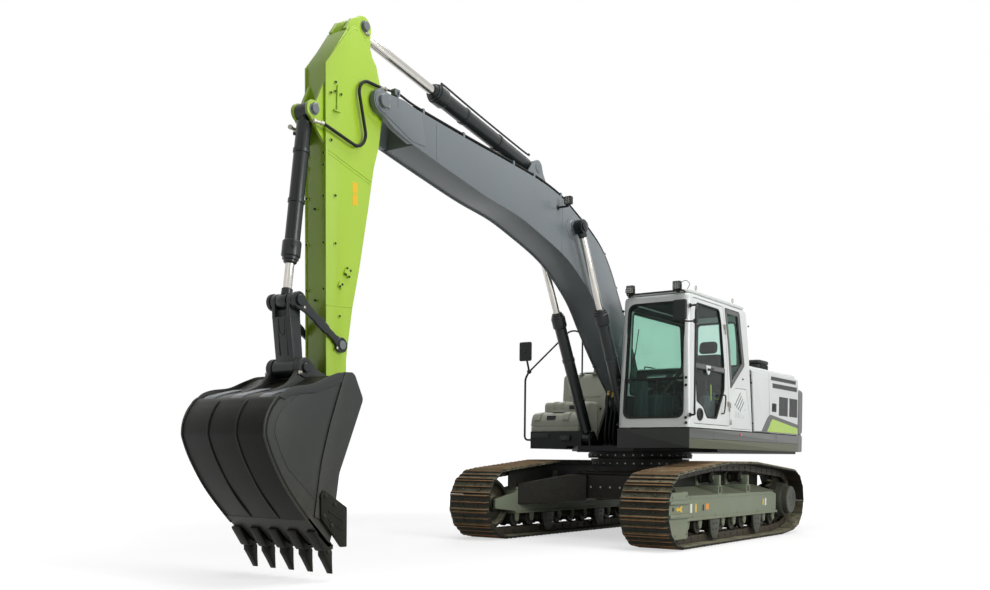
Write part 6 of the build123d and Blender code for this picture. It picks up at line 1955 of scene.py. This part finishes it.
def knuckle(skin, start, along, span, r, wide, n, soft, high):
    """Half of a hinge: a barrel along its axis over the span, with a leaf laid on the wall,
    wide to one side. Gives the barrel's middle."""
    low, top = start + along * span[0], start + along * span[1]
    flat = [(low[0], low[2]), (low[0] + wide, low[2]), (top[0] + wide, top[2]), (top[0], top[2])]
    skin.add(
        turned(low, along, disc_profile(r, 0, span[1] - span[0], soft), n),
        plate(flat, -3, high, soft, left_wall))
    return (low + top) / 2


def hinge_axis(low, high, off):
    """Start and direction of an axis between two (x, z) points, off the left wall."""
    a, b = (np.array([x, wall_at(z) + off, z]) for x, z in (low, high))
    return a, (b - a) / np.linalg.norm(b - a)


door_hinge, access_hinge, shell_hinge = Skin(), Skin(), Skin()
start, along = hinge_axis((209, 1680), (299.6, 2635), 9)
for h in (0.0, 958.0):
    for skin, wide, span in ((shell_hinge, -30, (h - 60, h - 0.2)), (door_hinge, 50, (h + 0.2, h + 60))):
        mid = knuckle(skin, start, along, span, 8, wide, 20, 1.5, 5)
        skin.add(*hex_bolt((mid[0] + wide * 0.62, wall_at(mid[2]) + 4.5, mid[2]), (0, 1, 0), 8))
start, along = hinge_axis((153, 1412), (168, 1780), 7)
for h in (75.0, 285.0):
    knuckle(shell_hinge, start, along, (h - 32, h - 0.2), 6, 26, 16, 1, 3)
    knuckle(access_hinge, start, along, (h + 0.2, h + 32), 6, -26, 16, 1, 3)
put("hinges_on_shell", shell_hinge, bare_steel, "upper")
put("hinges_on_door", door_hinge, bare_steel, "cab_door")

# access door with four slanted slots above, whose dark plates are painted shade, and six pressed ribs below
flap = Skin(plate(fillet(access, 24, 4), -20, 0, 4, left_wall))
for i in range(6):
    x = 6 - i * 56
    flap.add(plate(fillet(rect(x - 10, x + 10, 1552, 1648 - 9 * i), 8, 3), -1, 7, 3, left_wall))
flap.add(turned((-330, wall_at(1665) - 2, 1665), (0, 1, 0), [(15, 0), (15, 6), (12, 9)], 20))
# flat dark plates in the slots stand for the shade behind the louvre blades: painted shade
louvre_slot_shade = Skin()
for i in range(4):
    low, high = np.array([20.0 - 56 * i, 1706 - 22 * i]), np.array([-176.0 - 38 * i, 1876 - 36 * i])
    wide = np.array([10.0, 12.0]) * 0.72
    louvre_slot_shade.add(plate(fillet([low - wide, low + wide, high + wide, high - wide], 5, 3), -1, 2.2, 0.6,
                         left_wall, 1))
    flap.add(plate([low + wide, low + 2.3 * wide, high + 2.3 * wide, high + wide], -1, 6, 2.4, left_wall))
put("access_door_pressed", flap, cab_white, "access_door", ["access_door"])
put("access_louvres", louvre_slot_shade, grille_dark, "access_door")
put("hinges_on_access_door", access_hinge, bare_steel, "access_door")
red = Skin(box(-190, -150, side_face, side_face + 6, 1322, 1352, 2, 6))
put("skirt_reflector", red, reflector_red, "upper")

# %% [markdown]
# ## Inside of the cab
# Dark lining stands just inside the walls, so that the panes look into shade. The
# seat's cushions are crowned: rings climb round the edge, then shrink to the middle
# while they rise. Levers have bellows and grips.

# %% Lining, consoles, levers and monitor
lining = Skin(box(-540, 1330, 452, 1286, 1438, 1446, 2, 30))
ceiling = plate(fillet([(-360, 496), (-360, 1228), (1240, 1228), (1240, 496)], 60, 4), 2890, 2912, 8, "z")
lining.add(
    ceiling,
    plate([(-545, 1440), (-538, 1440), (-496, 2240), (-506, 2240)], 456, 1280, 2),
    plate([(-380, 2240), (-300, 2810), (1190, 2810), (1190, 2880), (-380, 2880)], 478, 486, 2),
    plate([(-540, 1440), (1330, 1440), (1322, 1780), (310, 1780), (-380, 2230), (-500, 2230)], 450, 458, 2),
    plate([(-540, 1440), (-500, 2230), (-340, 2230), (140, 1890), (150, 1440)], 1266, 1274, 2))
for y0, y1 in ((456, 476), (1262, 1280)):
    lining.add(plate([(1296, 1440), (1340, 1440), (1320, 2300), (1280, 2880), (1240, 2880)], y0, y1 - 6, 3))
lining.add(
    plate([(-400, 2250), (-440, 2250), (-390, 2880), (-350, 2880)], 486, 560, 4),
    plate([(-400, 2250), (-440, 2250), (-390, 2880), (-350, 2880)], 1178, 1240, 4))
pillar_strips = (
    [(305, 2890), (345, 2890), (258, 2434), (216, 1839), (186, 1440), (154, 1440), (154, 1900), (209, 2434)],
    [(-190, 2890), (-338, 2230), (-480, 2230), (-420, 2800), (-380, 2890)],
    [(1300, 1445), (1336, 1445), (1320, 2300), (1275, 2890), (1254, 2890), (1300, 2300)])
for strip in pillar_strips:
    lining.add(plate(strip, -56, -47, 2, left_wall))
put("cab_lining", lining, lining_dark, "upper")
desk = Skin(
    plate(fillet([(40, 1438), (760, 1438), (790, 1640), (740, 1816), (60, 1816)], [10, 40, 60, 50, 40], 5),
          470, 608, 26, steps=4),
    plate(fillet([(40, 1438), (700, 1438), (730, 1640), (680, 1796), (60, 1796)], [10, 40, 60, 50, 40], 5),
          1150, 1238, 24, steps=4),
    plate(fillet([(900, 1438), (1110, 1438), (1120, 1700), (1060, 1978), (930, 1978)], [8, 20, 90, 40, 30],
                 5), 466, 580, 24, steps=4),
    box(90, 420, 480, 598, 1812, 1862, 18, 20),
    box(90, 420, 1152, 1234, 1794, 1846, 18, 20))
for z in (1640, 1820):
    desk.add(turned((1118 if z < 1700 else 1092, 523, z), (1, 0, 0.1), [(40, 0), (40, 6), (32, 8)], 30))
put("consoles_moulded", desk, console_grey, "upper", ["consoles_and_levers"])
levers, knobs = Skin(), Skin()
for x, y, z, top in ((640, 541, 1812, (662, 545, 1975)), (600, 1195, 1792, (622, 1190, 1955))):
    base = np.array([x, y, z], float)
    d = np.array(top) - base
    d /= np.linalg.norm(d)
    levers.add(turned(base, d, [(44, 0), (42, 8), (34, 14), (38, 20), (30, 27), (33, 33), (25, 41),
                                (28, 47), (18, 58), (10, 62), (9, 90)], 28))
    knobs.add(turned(base + d * 86, d, [(12, 0), (17, 8), (20, 30), (18, 60), (22, 84), (25, 100),
                                        (20, 116), (6, 122)], 24))
for y in (790, 930):
    levers.add(tube([(985, y + 6, 1446), (968, y, 1640), (930, y - 4, 1880)], 9, 10, 6))
    knobs.add(turned((933, y - 4, 1862), (-0.15, 0, 1), [(10, 0), (18, 10), (20, 40), (14, 58)], 20))
    levers.add(plate(fillet(rect(900, 1080, y - 50, y + 40), 16, 4), 1452, 1470, 4, "z"))
levers.add(box(1010, 1035, 486, 500, 1960, 2010, 4, 4))
knobs.add(plate(fillet(rect(464, 600, 1992, 2098), 14, 4), 1000, 1030, 8, "x"))
put("levers_and_pedals", levers, black_plastic, "upper")
put("grips_and_monitor", knobs, rubber, "upper")
glow_bits = Skin(
    plate(fillet([(540, 1735), (562, 1735), (572, 1935), (550, 1935)], 6, 3), 1236, 1243, 2),
    box(275, 430, 1236, 1243, 1762, 1780, 2, 6))
put("lime_trim_inside", glow_bits, lime_green, "upper")

# %% Seat: crowned cushions on a sprung base
def cushion(outline, depth, crown, r, axis):
    """Stuffed pad: rings climb round a soft edge of radius r, then shrink to the
    middle while they rise by the crown; a sunk groove runs round the top."""
    o = fillet(outline, r, 7)
    mid = np.asarray(outline, float).mean(0)
    a = np.linspace(-math.pi / 2, math.pi / 2, 9)
    soft = depth * 0.45
    rings = [lay(inset(o, soft * (1 - math.cos(k))), depth / 2 + (depth / 2) * math.sin(k),
                 axis) for k in a]
    for k in np.linspace(0.04, 1, 9)[:-1]:
        lift = crown * (1 - (1 - k) ** 2) - 5 * math.exp(-((k - 0.22) / 0.05) ** 2)
        shrunk = mid + (inset(o, soft) - mid) * (1 - k)
        rings.append(lay(shrunk, depth + lift, axis))
    return loft(rings)


def on_back(flat, h):
    """(y, distance up the seat's back) pairs, h forwards from its rear face."""
    up, ahead = np.array([-0.189, 0, 0.982]), np.array([0.982, 0, 0.189])
    return np.array([-66.0, 0, 1690.0]) + flat[:, 1:] * up + flat[:, :1] * [0, 1.0, 0] + h * ahead


base = Skin(
    plate(fillet(rect(-60, 430, 640, 1120), 30, 4), 1446, 1470, 6, "z"),
    plate(fillet(rect(-30, 400, 670, 1090), 40, 4), 1468, 1540, 6, "z"))
for k in range(4):
    base.add(plate(fillet(rect(-36, 406, 664, 1096), 44, 4), 1476 + 16 * k, 1486 + 16 * k, 4, "z"))
base.add(plate(fillet(rect(-70, 440, 630, 1130), 40, 4), 1540, 1566, 10, "z"))
for y in (596, 1164):
    base.add(
        box(-20, 330, y - 24, y + 24, 1838, 1880, 16, 20),
        tube([(-90, y, 1700), (-60, y, 1780), (-10, y, 1850)], 14, 10, 4))
put("seat_base", base, black_plastic, "upper", ["seat"])
pads = {"seat_cushion": (rect(-80, 450, 620, 1140), 110, 26, 90, lambda f, h: lay(f, 1562 + h, "z")),
        "seat_back": ([(640, 20), (1120, 20), (1100, 690), (660, 690)], 96, 26, 90, on_back),
        "seat_headrest": ([(755, 712), (1005, 712), (1000, 872), (760, 872)], 74, 14, 60, on_back)}
for name, (outline, depth, crown, r, axis) in pads.items():
    pad = Skin(cushion(outline, depth, crown, r, axis))
    obj = put(name, pad, seat_cloth, "upper", angle=80)
piping = Skin()
for name, (outline, depth, crown, r, axis) in list(pads.items())[:2]:
    line = lay(inset(fillet(outline, r, 7), -0.5), depth * 0.5, axis)
    piping.add(tube(np.vstack([line, line[:1]]), 4, 6))
put("seat_piping", piping, rubber, "upper")

# %% [markdown]
# ## Lamps, mirrors, rails
# Rails are bent pipes: straight runs whose corners are rounded, with one round
# section carried along. Lamps have ribbed housings and a lens with a grid.

# %% Work lamps on roof and boom
lamps, lenses, grid = Skin(), Skin(), Skin()


def lamp_unit(x, y, z, body, glass_skin, bars, half=48):
    """Square work lamp that faces forwards; x is its rear face."""
    flat = fillet(rect(y - half, y + half, z - half, z + half), 12, 3)
    body.add(plate(flat, x + 8, x + 48, 6, "x"), band(flat, 0, 8, x + 46, x + 60, "x"))
    for k in np.linspace(-0.8, 0.8, 7):
        body.add(box(x, x + 10, y + k * half - 2, y + k * half + 2, z - half * 0.85, z + half * 0.85, 1, 1))
    glass_skin.add(plate(inset(flat, 7), x + 47, x + 53, 1, "x"))
    for k in (-0.5, 0, 0.5):
        bars.add(
            box(x + 52, x + 57, y + k * half - 1.6, y + k * half + 1.6, z - half + 8, z + half - 8, 0.8, 1),
            box(x + 52, x + 57, y - half + 8, y + half - 8, z + k * half - 1.6, z + k * half + 1.6, 0.8, 1))


for y in (545, 1150):
    lamp_unit(1330, y, 3039, lamps, lenses, grid)
    for s in (1, -1):
        lamps.add(box(1346, 1372, y + s * 50 - 3, y + s * 50 + 3, 2978, 3050, 1.5, 4))
    lamps.add(
        box(1336, 1368, y - 54, y + 54, 2972, 2982, 2, 3),
        box(1322, 1352, y - 16, y + 16, 2960.5, 2980, 3, 4))
lamps.add(tube(bent([(1300, 500, 2966), (1352, 508, 2980), (1352, 1215, 2980), (1300, 1224, 2968)], 20), 10,
               10))
put("roof_lamp_bodies", lamps, black_plastic, "upper", ["roof_lamps"])
put("roof_lamp_lenses", lenses, label_white, "upper")
put("roof_lamp_grids", grid, frame_dark, "upper")
boom_lamp, boom_lens, boom_grid = Skin(), Skin(), Skin()
lamp_unit(2440, 335, 3895, boom_lamp, boom_lens, boom_grid, 45)
boom_lamp.add(
    tube(bent([(2470, 195.6, 3835), (2470, 330, 3835), (2470, 330, 3853)], 12), 12, 12),
    turned((2470, 195.3, 3835), (0, 1, 0), [(26, 0), (26, 6), (20, 9), (14, 9)], 24))
put("boom_lamp_body", boom_lamp, black_plastic, "boom", ["boom_lamp"])
put("boom_lamp_lens", boom_lens, label_white, "boom")
put("boom_lamp_grid", boom_grid, frame_dark, "boom")
leads = {
    "right": [(1334, 515, 3060), (1322, 485, 3078), (1314, 453, 3060), (1304, 447, 3020), (1296, 475, 2998)],
    "left": [(1334, 1180, 3060), (1322, 1212, 3092), (1310, 1254, 3088), (1298, 1278, 3046),
             (1290, 1246, 3003)]}
for name, lead in leads.items():
    line = curve(lead, 8)
    cord = bpy.data.curves.new("lamp_lead", "CURVE")
    cord.dimensions, cord.bevel_depth, cord.bevel_resolution = "3D", 0.0035, 3
    cord.resolution_u = 6
    spline = cord.splines.new("NURBS")
    spline.points.add(len(lead) * 2 - 2)
    dense = curve(lead, 2)
    spline.points.foreach_set("co", np.hstack([dense * MM, np.ones((len(dense), 1))]).ravel())
    spline.order_u = 3
    spline.use_endpoint_u = True
    obj = bpy.data.objects.new("lamp_lead_" + name, cord)
    scene.collection.objects.link(obj)
    cord.materials.append(rubber)
    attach(obj, "upper")

# %% Mirrors and their rails
rail, glassy, joints = Skin(), Skin(), Skin()

rail.add(tube(bent([(1322, wall_at(2800) - 4, 2800), (1322, 1398, 2800), (1425, 1415, 2750),
                    (1425, 1415, 1575), (1375, 1398, 1530), (1375, wall_at(1530) - 4, 1530)], 70, 7),
              12, 12))
for z in (2800, 1530):
    x = 1322 if z > 2000 else 1375
    joints.add(turned((x, wall_at(z) - 2, z), (0, 1, 0), [(26, 0), (26, 6), (18, 10), (18, 16)], 20))
rail.add(tube(bent([(1500, 1262, 2735), (1478, 1262, 2735), (1478, 1262, 2615), (1474, 1330, 2596),
                    (1430, 1412, 2600)], 34, 6), 10, 12))
joints.add(
    plate(fillet(rect(1402, 1452, 1392, 1440), 14, 4), 2578, 2622, 5, "z"),
    turned((1492, 1262, 2735), (1, 0, 0), [(20, 0), (22, 4), (22, 10), (16, 14)], 20))
face = fillet(rect(1180, 1345, 2610, 2845), 26, 5)
rail.add(plate(face, 1500, 1545, 16, "x", 5))
glassy.add(plate(inset(face, 9), 1497.5, 1501, 0.6, "x", 1))
put("mirror_left", rail, black_plastic, "upper", ["mirror_and_rail_left"])
right = Skin(
    tube(bent([(600, -1440, 2380), (590, -1402, 2200), (590, -1465, 2110), (590, -1465, 1265),
               (590, -1337, 1265)], 60, 7), 14, 12),
    tube(bent([(590, -1402, 2200), (80, -1070, 2790), (50, -960, 2790), (50, -880, 2720), (50, -880, 2188)],
              60, 7), 12, 12))
face = fillet(rect(-1540, -1350, 2345, 2605), 24, 5)
right.add(
    plate(face, 600, 640, 14, "x", 5),
    turned((640, -1445, 2470), (1, 0, 0), [(18, 0), (18, 4), (12, 8)], 20),
    turned((560, -1402, 2200), (1, 0, 0), [(10, 0), (24, 8), (30, 22), (30, 38), (24, 52), (10, 60)], 20),
    box(560, 625, -1350, -1336, 1225, 1305, 3, 10))
for z in (1245, 1285):
    right.add(*hex_bolt((592, -1350, z), (0, -1, 0), 12))
right.add(turned((50, -880, 2186), (0, 0, 1), [(34, 0), (34, 8), (22, 12)], 24))
glassy.add(plate(inset(face, 9), 597.5, 601, 0.6, "x", 1))
put("mirror_right", right, black_plastic, "upper", ["mirror_and_rail_right"])
put("mirror_faces", glassy, mirror_glass, "upper")
put("mirror_joints", joints, black_plastic, "upper")

# %% [markdown]
# ## Hoses at the boom foot
# Steel pipes end under the boom in brass nuts. From them hoses hang to the deck, each
# one a fixed tube on no body.

# %% Boom foot hoses, brass nuts and manifolds
nuts, pipes, manifold = Skin(), Skin(), Skin()
for s in (1, -1):
    for k, y in enumerate((60, 105, 150)):
        x = 560 + 26 * k
        top = np.array([x, s * y, 1836.0 + 24 * k])
        nuts.add(turned(top - [0, 0, 44], (0, 0, 1), [(15, 0), (18, 3), (18, 26), (14, 29), (14, 36),
                                                      (19, 38), (19, 58), (12, 62)], 6))
        pipes.add(tube([top, top + [6, 0, 60], top + [30, 0, 120]], 10, 10, 5))
        route = [top - [0, 0, 40], top - [-14, 0, 130], (x + 50, s * (y + 8), 1460),
                 (x + 60, s * (y + 14), 1330), (x + 40, s * (y + 16), 1230), (x + 36, s * (y + 16), 1172)]
        hose(f"foot_hose_{'l' if s > 0 else 'r'}{k}", curve(route, 8), 14)
        manifold.add(turned((x + 36, s * (y + 16), 1178), (0, 0, 1),
                            [(26, 0), (26, 10), (20, 14), (20, 30)], 18))
    manifold.add(box(540, 700, s * 40, s * 190, 1180, 1196, 4, 6))
put("foot_nuts", nuts, zinc_yellow, "boom")
put("foot_pipes", pipes, slate_grey, "boom")
put("foot_manifold", manifold, frame_dark, "upper")

# %% [markdown]
# ## Engine and the right side door
# The engine lies across the machine: crankcase, head, ribbed rocker cover, flywheel
# housing and pump, then a finned radiator. Muffler and air cleaner lie above it.

# %% Engine, radiator, muffler and air cleaner
engine, cast, dark = Skin(), Skin(), Skin()
for y in (-360, 300):
    dark.add(box(-2290, -1310, y - 40, y + 40, 1180.6, 1236, 6, 20))
crank = fillet([(-2070, 1232), (-1630, 1232), (-1590, 1340), (-1620, 1575), (-2080, 1575), (-2110, 1340)],
               40, 4)
engine.add(plate(crank, -420, 340, 16), box(-2040, -1660, -400, 320, 1565, 1690, 14, 20))
cast.add(box(-1990, -1710, -385, 305, 1682, 1778, 30, 30))
for y in np.linspace(-340, 260, 9):
    cast.add(box(-1985, -1715, y - 7, y + 7, 1770, 1786, 4, 8))
cast.add(turned((-1850, 120, 1776), (0, 0, 1), [(44, 0), (44, 12), (36, 18), (36, 34), (30, 38)], 24))
engine.add(turned((-1850, -418, 1420), (0, -1, 0), [(150, -20), (236, 0), (240, 6), (240, 60), (150, 96),
                                                    (112, 104), (112, 138)], 48))
for x, z in circle((-1850, 1420), 218, 12):
    cast.add(*hex_bolt((x, -478, z), (0, -1, 0), 13))
engine.add(turned((-1850, 330, 1420), (0, 1, 0), [(120, 0), (124, 6), (124, 30), (60, 36), (60, 70)], 40))
dark.add(turned((-1850, 395, 1500), (0, 1, 0), [(90, 0), (96, 4), (70, 14), (96, 24), (90, 30)], 40))
for k in range(7):
    a = np.radians(360 / 7 * k)
    across, along_r = np.array([-math.sin(a), 0, math.cos(a)]), np.array([math.cos(a), 0, math.sin(a)])
    hub = np.array([-1850, 430.0, 1500])
    rings = [np.array([hub + along_r * r + across * w + np.array([0, 16.0, 0]) * h / 2
                       for w, h in ((-46, -1), (46, 1), (46, 1.35), (-46, -0.65))]) for r in (60, 180, 300)]
    dark.add(loft(rings))
radiator = Skin(band(fillet(rect(-2285, -1315, 1238, 1965), 20, 3), -44, 1, 480, 556))
for z in np.arange(1290, 1925, 12.5):
    radiator.add(box(-2246, -1354, 500, 544, z, z + 3.2, 1, 2))
for x in np.arange(-2220, -1370, 70):
    radiator.add(box(x, x + 10, 494, 548, 1280, 1924, 2, 4))
muffler = [(60, 0), (96, 14), (104, 30), (104, 590), (96, 606), (60, 620)]
cast.add(
    turned((-2150, -430, 1850), (0, 1, 0), muffler, 40),
    tube([(-2150, 60, 1760), (-2120, 40, 1710), (-2050, 20, 1660), (-2010, 20, 1640)], 36, 20, 6))
cleaner_can = [(96, 0), (112, 10), (116, 26), (116, 120), (112, 126), (112, 500), (90, 520), (70, 530)]
dark.add(
    turned((-1450, -440, 1850), (0, 1, 0), cleaner_can, 40),
    tube([(-1450, 86, 1850), (-1460, 180, 1850), (-1540, 240, 1810), (-1640, 240, 1720),
          (-1668, 240, 1640)], 42, 20, 6))
for y in (-330, -10):
    dark.add(
        box(-1560, -1340, y - 12, y + 12, 1700, 1745, 4, 6),
        box(-2240, -2060, y - 12, y + 12, 1700, 1752, 4, 6))
    for x in (-1560, -1352, -2236, -2072):
        dark.add(box(x, x + 12, y - 12, y + 12, 1236, 1745, 3, 20))
put("engine_cast", engine, chassis_grey, "upper", ["engine_block"])
put("engine_cover_and_muffler", cast, bare_steel, "upper")
put("engine_mounts_fan_cleaner", dark, frame_dark, "upper")
put("radiator_finned", radiator, frame_dark, "upper")

# %% Right side door: pressed field, vents, stripes and latch
field, vent_frames, vent_slats = Skin(), Skin(), Skin()
field.add(plate(fillet(rect(-800, -1160, 1680, 2140), 30, 4), -1342, -1345, 1.5))
put("right_door_field", field, cab_white, "side_door_right")
for x0, x1, z0, z1 in openings:
    vent_frames.add(band(rect(x1, x0, z0, z1), -7, 1, -1342.5, -1346.5))
    vent_slats.add(box(x1 + 1, x0 - 1, -side_face - 0.4, -side_face + 0.6, z0 + 1, z1 - 1, 0.3, 1))
    for z in np.arange(z0 + 4, z1 - 8, 11.0):
        vent_slats.add(plate(rect(x1 + 2, x0 - 2, z, z + 5), -side_face, -side_face - 2.6, 0.8))
put("right_vent_slats", vent_slats, grille_dark, "side_door_right")
put("right_vent_frames", vent_frames, cab_white, "side_door_right")
stripe("right_stripe_outline",
       [(-712, 1397), (-2368, 1397), (-2356, 1541), (-1262, 1640), (-1020, 1628), (-890, 1560),
        (-790, 1450)], border, skirt_grey, "side_door_right", s=-1)
stripe("right_stripe", [(-1000, 1406), (-2362, 1406), (-2350, 1488), (-1310, 1584), (-1200, 1530)],
       filling, lime_green, "side_door_right", -1)
right_latch = Skin(
    band(fillet(rect(-960, -795, 1684, 1801), 14, 3), 0, 12, -1344, -1350),
    box(-950, -870, -1344, -1351, 1722, 1784, 3, 12),
    turned((-830, -1344, 1712), (0, -1, 0), [(11, 0), (11, 5), (9, 6)], 20))
put("right_door_latch", right_latch, black_plastic, "side_door_right")

# %% CAD solids that show as they are, with rounded edges
plain = {"main_frame": frame_dark, "deck_right": frame_dark, "hood_frame": frame_dark,
         "cab_glass": cab_pane, "door_glass": clear_pane, "side_door_left": cab_white,
         "side_door_right": cab_white}
for node, finish in plain.items():
    dress(node, finish, 0 if "glass" in node else 4)
